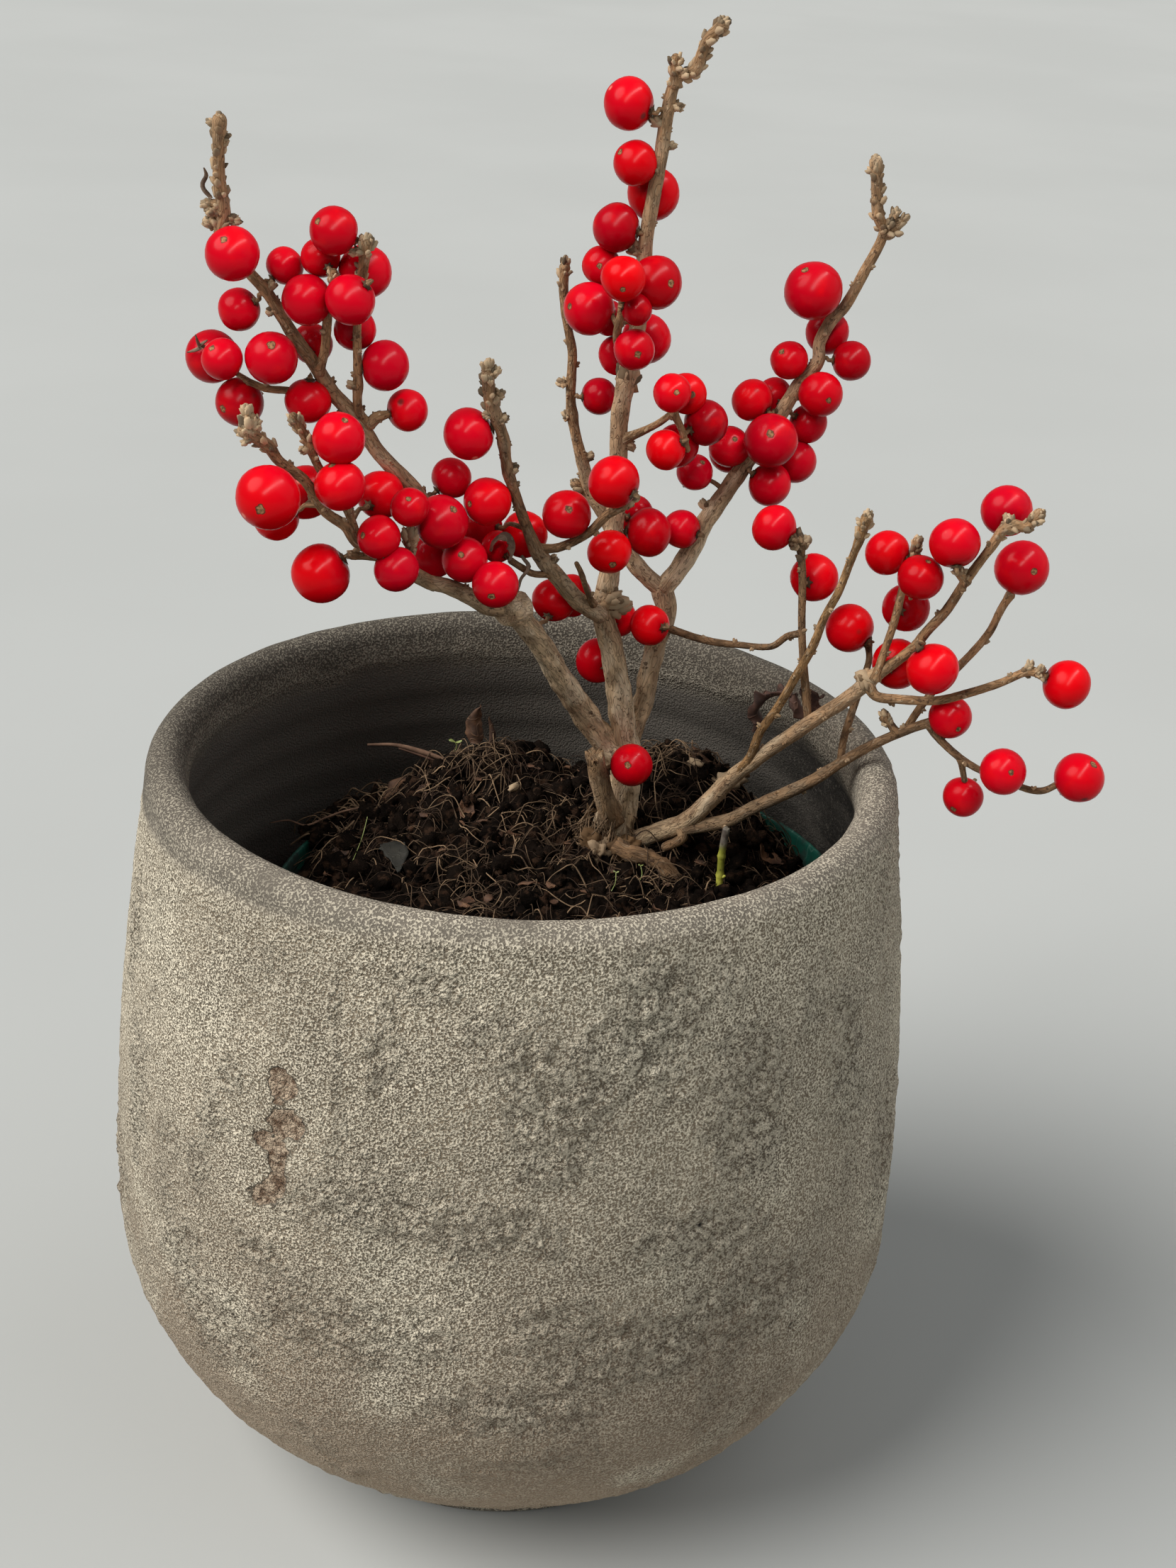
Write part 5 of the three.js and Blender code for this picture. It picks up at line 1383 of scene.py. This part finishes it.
# How much of a tip is set with bud scales and how full its tuft is, for tips unlike the usual ones
SHEATHS = {
    "centre_spray": {0: (12, 1.5), 1: (5.5, 1.7)},
    "thin_spray": {0: (6, 1.2), 1: (3, 1.5)},
    "right_spray": {0: (13, 1.4), 1: (4, 1.9)},
    "upper_left_spray": {0: (24, 0.65), 2: (5, 1.3), 3: (8, 1.6)},
    "lower_left_spray": {0: (7, 2), 1: (8, 1.9), 3: (4, 1.5)},
    "front_left_spray": {0: (9, 2), 1: (5, 1.6)},
    "far_right_spray": {0: (11, 1.7), 3: (5, 1.5), 4: (3, 1.4)},
    "yellow_shoot": {0: (6, 1.3)},
}
USUAL_SHEATH = (3.2, 1.2)
BARE_TIPS = {
    "centre_spray": (2, 3, 4), "upper_left_spray": (1, 4), "lower_left_spray": (2,),
    "front_left_spray": (2, 3), "far_right_spray": (1,), "lower_right_spray": (0, 1, 2), "low_twig": (0,),
    "outer_twig": (0,), "crossing_twig": (1,),
}


def bark_relief(place, radius):
    """How far bark stands out: long ridges and bulges on old wood, faint lumps on young twigs"""
    age = blend(0.9, 2.6, radius)
    ridges = noise(Vector((place.x * 0.9, place.y * 0.9, place.z * 0.16)))
    bulges = noise(place * 0.33)
    fine = noise(place * 1.9)
    return radius * ((0.035 + 0.08 * age) * ridges + (0.05 + 0.1 * age) * bulges) + 0.045 * fine


def root_relief(place, radius):
    """The gnarled skin of a root at the surface"""
    return radius * (0.42 * noise(place * 0.5) + 0.24 * noise(place * 1.3))


def near_stem(paths, spot):
    """The point of the stems' paths that is nearest to a spot, and the way and radius of its stem there"""
    best = None
    for path in paths:
        for i in range(len(path) - 1):
            gap = (path[i][0] - spot).length
            if best is None or gap < best[0]:
                best = (gap, path[i][0], (path[i + 1][0] - path[i][0]).normalized(), path[i][1])
    return best[1:]


def sides_for(radius):
    """How many sides a stem of this radius gets"""
    return 9 if radius < 0.7 else 12 if radius < 1.4 else 16 if radius < 2.6 else 28


def stem_paths(node, step):
    """Smooth paths for a node's stems, flared where a side twig starts and swollen at the buds and tips"""
    grown = PLANT[node]
    paths = []
    for number, places in enumerate(grown["stems"]):
        path = smooth_path(places, step)
        total = path[-1][2]
        sheath = min(sheath_of(node, number)[0], 0.9 * total)
        fuller = []
        for place, radius, so_far in path:
            flare = 0.5 * exp(-so_far / (1.6 * radius)) if number else 0
            gaps = [(place - Vector(bud[:3])).length for bud in grown["buds"]]
            swell = min(0.35, sum(0.28 * exp(-(gap / 1.5) ** 2) for gap in gaps))
            full = SHEATH_THICKNESS * blend(sheath * 1.3, sheath * 0.7, total - so_far) if sheath > 5 else 0
            fuller.append((place, radius * (1 + flare) + BARK_THICKNESS + swell + full, so_far))
        paths.append(fuller)
    return paths


def sheath_of(node, number):
    """How much of a stem's tip is set with bud scales, and how full its tuft is"""
    if node == "framework" or number in BARE_TIPS.get(node, ()):
        return 0, 0
    return SHEATHS.get(node, {}).get(number, USUAL_SHEATH)


def any_way(rng):
    """A random direction"""
    return Vector((rng.gauss(0, 1), rng.gauss(0, 1), rng.gauss(0, 1))).normalized()


def add_scale(shape, centre, axis, radius, rng, shade=1):
    """A woolly bud scale, drawn out along its axis"""
    tint = (rng.uniform(0, 90), rng.uniform(0, 90), rng.uniform(0, 90))
    add_ball(shape, centre, axis, radius, rng.uniform(1.3, 1.75), 5, 7, 0.5, 0.45, rng.random() * 50,
             skin=tint, age=0, bud=shade)


def add_tip(shape, path, length, fullness, rng):
    """Bud scales round the tip of a stem: a tuft at its end, then a ring at every node down from it"""
    total = path[-1][2]
    way = (path[-1][0] - path[-3][0]).normalized()
    tip, radius, _ = path[-1]
    for _ in range(round(6 * fullness)):
        out = (any_way(rng) + way * 0.5).normalized()
        reach = radius * 0.75 * fullness ** 1.3
        size = 0.45 * rng.uniform(0.8, 1.25) * fullness ** 0.5
        middle = tip - way * (radius * 0.4 + 0.4 * fullness)
        add_scale(shape, middle + out * reach * rng.uniform(0.4, 1), out + way * 0.6, size, rng)
    back = rng.uniform(0.9, 1.5)
    while back < min(length, 0.9 * total):
        spot = min(path, key=lambda point: abs(total - point[2] - back))
        index = path.index(spot)
        way = (path[min(index + 1, len(path) - 1)][0] - path[max(index - 1, 0)][0]).normalized()
        side = way.orthogonal().normalized()
        turn = rng.uniform(0, 6.3)
        for i in range(rng.choice((2, 3, 4))):
            out = Matrix.Rotation(turn + i * 2.1 + rng.uniform(-0.4, 0.4), 3, way) @ side
            size = rng.uniform(0.45, 0.8) * min(1.2, 0.5 + 0.5 * spot[1])
            add_scale(shape, spot[0] + out * spot[1] * 0.98, out + way, size, rng, rng.uniform(0.5, 1))
        back += rng.uniform(1.2, 2.8)


def add_nodes(shape, path, rng):
    """Small knobs and leaf scars here and there on both sides of a young stem"""
    total = path[-1][2]
    so_far = rng.uniform(4, 7)
    turn = rng.uniform(0, 6.3)
    while so_far < total - 4:
        index = min(range(1, len(path) - 1), key=lambda i: abs(path[i][2] - so_far))
        place, radius, _ = path[index]
        way = (path[index + 1][0] - path[index - 1][0]).normalized()
        out = Matrix.Rotation(turn, 3, way) @ way.orthogonal().normalized()
        if radius < 1.7:
            size = rng.uniform(0.4, 0.62)
            add_scale(shape, place + out * radius * 0.9, out + way * 0.4, size, rng, rng.uniform(0.3, 0.9))
            size = rng.uniform(0.3, 0.42)
            add_scale(shape, place + out * radius * 0.95 - way * 0.5, out, size, rng, 0.35)
        turn += 2.4
        so_far += rng.uniform(4.5, 8)


def add_bud(shape, bud, paths, seed):
    """A woolly bud on the side of its stem: a knob covered with scales, with smaller ones at its base"""
    spot, radius = Vector(bud[:3]), bud[3] * BUD_FULLNESS
    foot, way, stem_radius = near_stem(paths, spot)
    out = spot - foot
    out = (out.normalized() if out.length > 0.3 else way) + way * 0.35
    rng = random.Random(seed)
    add_scale(shape, spot, out, radius * 0.72, rng)
    for _ in range(4 + round(radius * 4)):
        side = (any_way(rng) + out.normalized() * 0.6).normalized()
        size = radius * rng.uniform(0.36, 0.5)
        add_scale(shape, spot + side * radius * 0.5, side + out, size, rng, rng.uniform(0.75, 1))
    for _ in range(3):
        side = (any_way(rng) - out.normalized() * 0.9).normalized()
        size = radius * rng.uniform(0.3, 0.42)
        add_scale(shape, spot + side * radius * 0.7, side, size, rng, rng.uniform(0.3, 0.6))
    if (spot - foot).length > stem_radius * 0.8:
        neck = [(*foot, radius * 0.75), (*spot, radius * 0.6)]
        add_tube(shape, smooth_path(neck, 0.6), 8, seed=seed, age=0, bud=0.25)


def add_stalk(shape, berry, paths, seed):
    """A berry's stalk, from its stem round to the berry's base, with the dry calyx there"""
    centre = Vector(berry[:3])
    radius = berry[3] / 2
    apex = Vector(berry[4:7]).normalized()
    base = centre - apex * radius * 0.97
    foot, way, _ = near_stem(paths, centre)
    leave = (centre - foot).normalized() if (centre - foot).length > 0.2 else Vector((0, 1, 0))
    reach = (base - foot).length
    bend = foot.lerp(base, 0.45) + leave * 0.12 * reach + way * 0.15 * reach
    close = base - apex * min(1.2, 0.25 * reach + 0.2)
    places = [(*foot, 0.62), (*bend, 0.46), (*close, 0.42), (*(base + apex * 0.4), 0.5)]
    add_tube(shape, smooth_path(places, 0.8), 7, seed=seed, age=0, bud=0.15)
    side = apex.orthogonal().normalized()
    across = apex.cross(side)
    points = [base - apex * 0.35]
    for k in range(CALYX_SIDES):
        angle = 2 * pi * k / CALYX_SIDES
        around = side * cos(angle) + across * sin(angle)
        out = radius * (0.3 if k % 2 else 0.17)
        points.append(base + apex * (0.02 * radius) + around * out)
    points.append(base + apex * 0.5)
    edges = [(1 + k, 1 + (k + 1) % CALYX_SIDES) for k in range(CALYX_SIDES)]
    faces = [(0, after, this) for this, after in edges] + [(CALYX_SIDES + 1, *edge) for edge in edges]
    shape.add(points, faces, age=0, bud=0, dark=0.7, skin=(31.0 * seed, 1.0, 1.0))


def build_wood(node, plant, material, slot):
    """The wood of one node: its stems, buds and berry stalks"""
    grown = PLANT[node]
    shape = Shape(skin=(0, 0, 0), age=0, bud=0, dark=0)
    paths = stem_paths(node, plant.ring_step / MM)
    first_seed = 100 * list(PLANT).index(node)
    rng = random.Random(first_seed + 7)
    for number, path in enumerate(paths):
        thick = max(radius for _, radius, _ in path)
        sides = sides_for(thick)
        is_root = (node, number) in SURFACE_ROOTS
        end = "broken" if (node, number) == STUB else "cut" if (node, number) == CUT_KNOB else "round"
        rings = len(path) + len(TUBE_ENDS[end][0])
        ages = []
        dark = []
        for i in range(rings):
            place, radius, _ = path[min(i, len(path) - 1)]
            ages += [0.0 if is_root else 0.25 if end == "broken" else blend(0.9, 2.3, radius)] * sides
            stained = SOIL_STAIN * blend(142, 130, place.z)
            dark += [0.4 if is_root else max(stained, DARK_WOOD.get(node, 0))] * sides
        dark += [0.0, 0.0 if end == "round" else 0.4]
        add_tube(shape, path, sides, root_relief if is_root else bark_relief, end, first_seed + number,
                 age=ages + [ages[0], ages[-1]], dark=dark)
        sheath, fullness = sheath_of(node, number)
        if sheath:
            add_tip(shape, path, sheath, fullness, rng)
        if node != "framework" and thick < 2.4 and path[-1][2] > 12:
            add_nodes(shape, path, rng)
    for i, bud in enumerate(grown["buds"]):
        add_bud(shape, bud, paths, first_seed + 20 + i)
    for i, berry in enumerate(grown["berries"]):
        add_stalk(shape, berry, paths, first_seed + 50 + i)
    make_piece(node + "_wood", shape, material, slot, node)


# The rings of a berry's mesh, in degrees from its apex
BERRY_ROWS = [0, 3, 6, 9, 12, 16, 22, *range(30, 161, 10), 168, 174, 180]
BERRY_SIDES = 28


def add_berry(shape, berry, seed):
    """A berry: nearly round, dimpled at its base, with a slight sunk scar at its apex"""
    rng = random.Random(seed)
    centre = Vector(berry[:3])
    radius = berry[3] / 2
    axis = Vector(berry[4:7]).normalized()
    turned_side = Matrix.Rotation(rng.uniform(0, 6.3), 3, axis) @ axis.orthogonal().normalized()
    across = axis.cross(turned_side)
    scar_size = rng.uniform(6.3, 9)
    squash = rng.uniform(0.93, 0.98)
    tone = rng.uniform(0.55, 1) if rng.random() < 0.7 else rng.uniform(0, 0.5)
    points = []
    scars = []
    bases = []
    for degrees in BERRY_ROWS:
        polar = radians(degrees)
        for k in range(BERRY_SIDES if 0 < degrees < 180 else 1):
            angle = 2 * pi * k / BERRY_SIDES
            around = turned_side * cos(angle) + across * sin(angle)
            out = around * sin(polar) + axis * cos(polar)
            grow = 1 + 0.035 * noise(out * 1.1 + Vector((seed * 1.7, 0, seed)))
            grow -= 0.02 * exp(-(degrees / 11) ** 2) + 0.09 * exp(-((180 - degrees) / 15) ** 2)
            ragged = 1 + 0.35 * noise(around * 1.5 + Vector((seed * 3.1, seed, 2)))
            skin = around * sin(polar) + axis * cos(polar) * squash
            points.append(centre + skin * radius * grow)
            scars.append(blend(1.35, 0.7, degrees / (scar_size * ragged)))
            bases.append(blend(125, 180, degrees))
    last = len(points) - 1
    faces = []
    for k in range(BERRY_SIDES):
        after = (k + 1) % BERRY_SIDES
        faces.append((0, 1 + k, 1 + after))
        faces.append((last, last - BERRY_SIDES + after, last - BERRY_SIDES + k))
        for row in range(len(BERRY_ROWS) - 3):
            low = 1 + row * BERRY_SIDES
            faces.append((low + k, low + BERRY_SIDES + k, low + BERRY_SIDES + after, low + after))
    shape.add(points, faces, tone=tone, scar=scars, base=bases)


def build_berries(node, material):
    """The berries of one node"""
    shape = Shape(tone=0, scar=0, base=0)
    for i, berry in enumerate(PLANT[node]["berries"]):
        add_berry(shape, berry, 40 * list(PLANT).index(node) + i)
    piece = make_piece(node + "_berries", shape, material, "berry_red", node)
    lit_by_strip = bpy.data.collections.get("glossy berries")
    if lit_by_strip:
        lit_by_strip.objects.link(piece)


# The dead leaf as three crumpled blades: (places as (x, y, z, half width), the way across, cup, ripple)
DEAD_LEAF = [
    ([(47.5, 12, 163.2, 0.3), (49, 11.5, 165.5, 1.5), (48, 11, 168.5, 1.4), (49.5, 10.5, 171.3, 1.6),
      (51.5, 9.5, 173, 1.1), (54.5, 8, 174, 0.6)], (1, 0.8, 0.2), 0.9, 2),
    ([(56, 6, 176.7, 0.6), (57, 6, 174.5, 2), (58, 6, 172.3, 2.7), (60.5, 5.5, 171, 0.8)],
     (1, 0.9, 0), 0.8, 2.4),
    ([(55.3, 8, 174.4, 0.5), (56, 7.5, 172.5, 1.7), (57, 7, 170.5, 1.6), (58, 6.5, 169.3, 0.5)],
     (0.6, 1, 0.4), -0.7, 2.2),
]


def build_dry_leaves():
    """The curled dry leaves that still hang on the plant"""
    front = Shape()
    curl = [(-4.5, 1.8, 202.3, 0.7), (-3.9, 1.4, 205.2, 1.3), (-4.7, 0.9, 207.6, 1.5), (-6.6, 0.4, 208, 1.4),
            (-8.3, 0, 206.4, 1), (-8.6, -0.2, 204.6, 0.3)]
    add_blade(front, curl, (0.2, 1, 0.1), 0.5, 0.9, seed=41)
    strip = [(-2.6, 3.5, 202.6, 0.3), (-1.2, 3, 200.5, 0.7), (-2.6, 2.6, 198, 0.6), (-3, 2.4, 195.5, 0.2)]
    add_blade(front, strip, (0.3, 1, 0), 0.5, 0.4, seed=42)
    material = leaf_material("curled dry leaf", (0.085, 0.05, 0.03), (0.24, 0.165, 0.11), (0.3, 0.22, 0.15))
    make_piece("curled_leaf", front, material, "bark", "front_left_spray")
    dead = Shape()
    for blade, sideways, cup, ripple in DEAD_LEAF:
        add_blade(dead, blade, sideways, cup, ripple, columns=10, step=0.5, seed=43 + len(blade))
    dark = leaf_material("dead brown leaf", (0.030, 0.014, 0.010), (0.11, 0.05, 0.032), (0.17, 0.085, 0.055))
    make_piece("dead_leaf", dead, dark, "bark", "crossing_twig")
    remnants = Shape()
    foot = (-63.5, -7.5, 244.3)
    for tip in ((-66, -8, 243.2), (-64, -9.5, 247), (-60.5, -9, 243.2), (-62, -8.5, 245.8)):
        middle = Vector(foot).lerp(Vector(tip), 0.55)
        places = [(*foot, 0.5), (*middle, 0.42), (*tip, 0.08)]
        add_blade(remnants, places, (0, 1, 0.4), 0.6, 0.1, 0.18, 4, 0.5)
    stipule = [(-61, -6.5, 271.5, 0.3), (-62.5, -6.5, 273.5, 0.45), (-61.8, -6.8, 275.5, 0.4),
               (-62.2, -7, 277, 0.1)]
    add_blade(remnants, stipule, (1, 0.6, 0), 0.6, 0.3, 0.18, 4, 0.5)
    make_piece("dry_calyx", remnants, material, "bark", "upper_left_spray")


# The cut stick as (x, y, z, radius), and how far along it its nodes are
CUT_STICK = [(43, 5.5, 118, 0.8), (43, 6, 127, 0.8), (43, 6.2, 131, 0.78), (43, 6.5, 137, 0.76),
             (43.5, 7, 142.5, 0.8)]
STICK_NODES = (9, 13.5, 18)


def build_cut_stick():
    """The small cut shoot in the soil, with its nodes"""
    shape = Shape()
    path = []
    for place, radius, so_far in smooth_path(CUT_STICK, 0.5):
        ring = sum(0.22 * exp(-((so_far - node) / 0.5) ** 2) for node in STICK_NODES)
        path.append((place, radius + ring, so_far))
    add_tube(shape, path, 12, lambda place, radius: 0.08 * noise(place * 1.4), "broken", 9)
    for spot, way in (((43.7, 5.7, 131.5), (1, -0.4, 0.6)), ((42.4, 6, 127.4), (-1, -0.3, 0.5))):
        add_ball(shape, spot, way, 0.42, 1.5, 6, 8, 0.2, 0.4)
    make_piece("green_shoot", shape, stick_material(), "green_stick", "cut_stick")


# The stage: suns as (name, the way they shine, strength, width in degrees, colour), then the strip light,
# which only the berries receive, as (start, end, target, width, power)
SUNS = [
    ("soft daylight", (0.655, 0.26, -0.71), 3.8, 46, (1, 0.99, 0.97)),
    ("side fill", (-0.78, 0.0, -0.62), 0.72, 80, (0.94, 0.97, 1)),
]
STRIP = ((-0.24, -1.06, 0.71), (0.71, 0.26, 1.13), (0, 0, 0.2), 0.1, 15)
SURROUND = (0.80, 0.82, 0.82, 1)
SURROUND_STRENGTH = 0.26
FLOOR_REACH = 4
FLOOR_DROP = 0.0004


def add_strip(start, end, target, width, power):
    """A thin strip light from start to end that faces a target"""
    start, end = Vector(start), Vector(end)
    along = (end - start).normalized()
    toward = Vector(target) - (start + end) / 2
    facing = (toward - along * toward.dot(along)).normalized()
    data = bpy.data.lights.new("strip", "AREA")
    data.shape = "RECTANGLE"
    data.size = (end - start).length
    data.size_y = width
    data.energy = power
    light = new_object("strip", data)
    turned_axes = Matrix((along, -facing.cross(along), -facing)).transposed().to_4x4()
    light.matrix_world = Matrix.Translation((start + end) / 2) @ turned_axes
    light.visible_camera = False
    light.light_linking.receiver_collection = bpy.data.collections.new("glossy berries")


def build_camera():
    """The camera that took the photograph, from its measured place, tilt and roll"""
    data = bpy.data.cameras.new("camera")
    data.sensor_fit = "HORIZONTAL"
    data.sensor_width = CAMERA_SENSOR_WIDTH
    data.lens = CAMERA_LENS
    data.clip_start = 0.01
    data.dof.use_dof = False
    camera = new_object("camera", data)
    right, up = Vector(CAMERA_RIGHT).normalized(), Vector(CAMERA_UP).normalized()
    turned_axes = Matrix((right, up, right.cross(up))).transposed().to_4x4()
    camera.matrix_world = Matrix.Translation(Vector(CAMERA_PLACE) * MM) @ turned_axes
    bpy.context.scene.camera = camera


def add_sun(name, way, strength, spread, colour):
    """A soft even light that shines along a way, from a round part of the sky as many degrees wide"""
    data = bpy.data.lights.new(name, "SUN")
    data.energy = strength
    data.angle = radians(spread)
    data.color = colour
    light = new_object(name, data)
    light.rotation_euler = Vector(way).to_track_quat("-Z", "Y").to_euler()


def build_stage():
    """A plain pale floor, soft daylight from the upper left, a fill, a strip light and a pale surround"""
    mesh = bpy.data.meshes.new("floor")
    corners = [(x * FLOOR_REACH, y * FLOOR_REACH, 0) for x, y in ((-1, -1), (1, -1), (1, 1), (-1, 1))]
    mesh.from_pydata(corners, [], [(0, 1, 2, 3)])
    mesh.materials.append(stage_material())
    floor = new_object("floor", mesh)
    floor.location.z = -FLOOR_DROP
    for sun in SUNS:
        add_sun(*sun)
    add_strip(*STRIP)
    world = bpy.data.worlds.new("surround")
    world.use_nodes = True
    background = world.node_tree.nodes["Background"]
    background.inputs["Color"].default_value = SURROUND
    background.inputs["Strength"].default_value = SURROUND_STRENGTH
    bpy.context.scene.world = world
    bpy.context.scene.view_settings.view_transform = "Standard"


# Operators, one for each piece or group of like pieces
class HOLLY_OT_planter(bpy.types.Operator):
    """Builds the stoneware planter"""

    bl_idname = "holly.planter"
    bl_label = "Planter"

    def execute(self, context):
        build_planter(context.scene.holly_pots)
        return {"FINISHED"}


class HOLLY_OT_nursery_pot(bpy.types.Operator):
    """Builds the thin green nursery pot"""

    bl_idname = "holly.nursery_pot"
    bl_label = "Nursery pot"

    def execute(self, context):
        build_nursery_pot(context.scene.holly_pots)
        return {"FINISHED"}


class HOLLY_OT_soil(bpy.types.Operator):
    """Builds the peat, its crumbs and the fine roots on it"""

    bl_idname = "holly.soil"
    bl_label = "Soil"

    def execute(self, context):
        pots = context.scene.holly_pots
        build_soil(pots)
        build_crumbs(pots)
        build_rootlets(pots)
        return {"FINISHED"}


class HOLLY_OT_litter(bpy.types.Operator):
    """Builds what lies and sprouts on the soil"""

    bl_idname = "holly.litter"
    bl_label = "Litter and seedlings"

    def execute(self, context):
        build_litter(context.scene.holly_plant)
        return {"FINISHED"}


class HOLLY_OT_wood(bpy.types.Operator):
    """Builds the stems, buds and berry stalks of every branch"""

    bl_idname = "holly.wood"
    bl_label = "Wood"

    def execute(self, context):
        plant = context.scene.holly_plant
        bark = bark_material("bark", plant.young_bark, plant.old_bark, plant.bud)
        straw = bark_material("yellow bark", (0.30, 0.168, 0.070), (0.3, 0.18, 0.08), plant.bud)
        for node in PLANT:
            is_straw = node == "yellow_shoot"
            build_wood(node, plant, straw if is_straw else bark, "young_bark" if is_straw else "bark")
        return {"FINISHED"}


class HOLLY_OT_berries(bpy.types.Operator):
    """Builds the berries of every branch that bears some"""

    bl_idname = "holly.berries"
    bl_label = "Berries"

    def execute(self, context):
        material = berry_material(context.scene.holly_plant)
        for node in PLANT:
            if PLANT[node]["berries"]:
                build_berries(node, material)
        return {"FINISHED"}


class HOLLY_OT_dry_leaves(bpy.types.Operator):
    """Builds the dry leaves and the cut shoot"""

    bl_idname = "holly.dry_leaves"
    bl_label = "Dry leaves and cut shoot"

    def execute(self, context):
        build_dry_leaves()
        build_cut_stick()
        return {"FINISHED"}


class HOLLY_OT_stage(bpy.types.Operator):
    """Builds the camera, the floor and the lights"""

    bl_idname = "holly.stage"
    bl_label = "Stage"

    def execute(self, context):
        build_camera()
        build_stage()
        return {"FINISHED"}


OPERATORS = (HOLLY_OT_stage, HOLLY_OT_planter, HOLLY_OT_nursery_pot, HOLLY_OT_soil, HOLLY_OT_litter,
             HOLLY_OT_wood, HOLLY_OT_berries, HOLLY_OT_dry_leaves)


class HOLLY_PT_sidebar(bpy.types.Panel):
    """Lists the settings and the pieces"""

    bl_idname = "HOLLY_PT_sidebar"
    bl_label = "Potted winterberry holly"
    bl_space_type = "VIEW_3D"
    bl_region_type = "UI"
    bl_category = "Holly"

    def draw(self, context):
        for settings in (context.scene.holly_pots, context.scene.holly_plant):
            box = self.layout.box()
            for name in settings.__annotations__:
                box.prop(settings, name)
        for operator in OPERATORS:
            self.layout.operator(operator.bl_idname)


CLASSES = (HollyPotSettings, HollyPlantSettings, *OPERATORS, HOLLY_PT_sidebar)


def register():
    for each in CLASSES:
        bpy.utils.register_class(each)
    bpy.types.Scene.holly_pots = PointerProperty(type=HollyPotSettings)
    bpy.types.Scene.holly_plant = PointerProperty(type=HollyPlantSettings)


def unregister():
    del bpy.types.Scene.holly_plant
    del bpy.types.Scene.holly_pots
    for each in reversed(CLASSES):
        bpy.utils.unregister_class(each)


def plain(box):
    """A box's corners as plain lists of numbers"""
    return [[float(value) for value in corner] for corner in box]


def main():
    register()
    for operator in OPERATORS:
        getattr(bpy.ops.holly, operator.bl_idname.split(".")[1])()


if __name__ == "__main__":
    main()
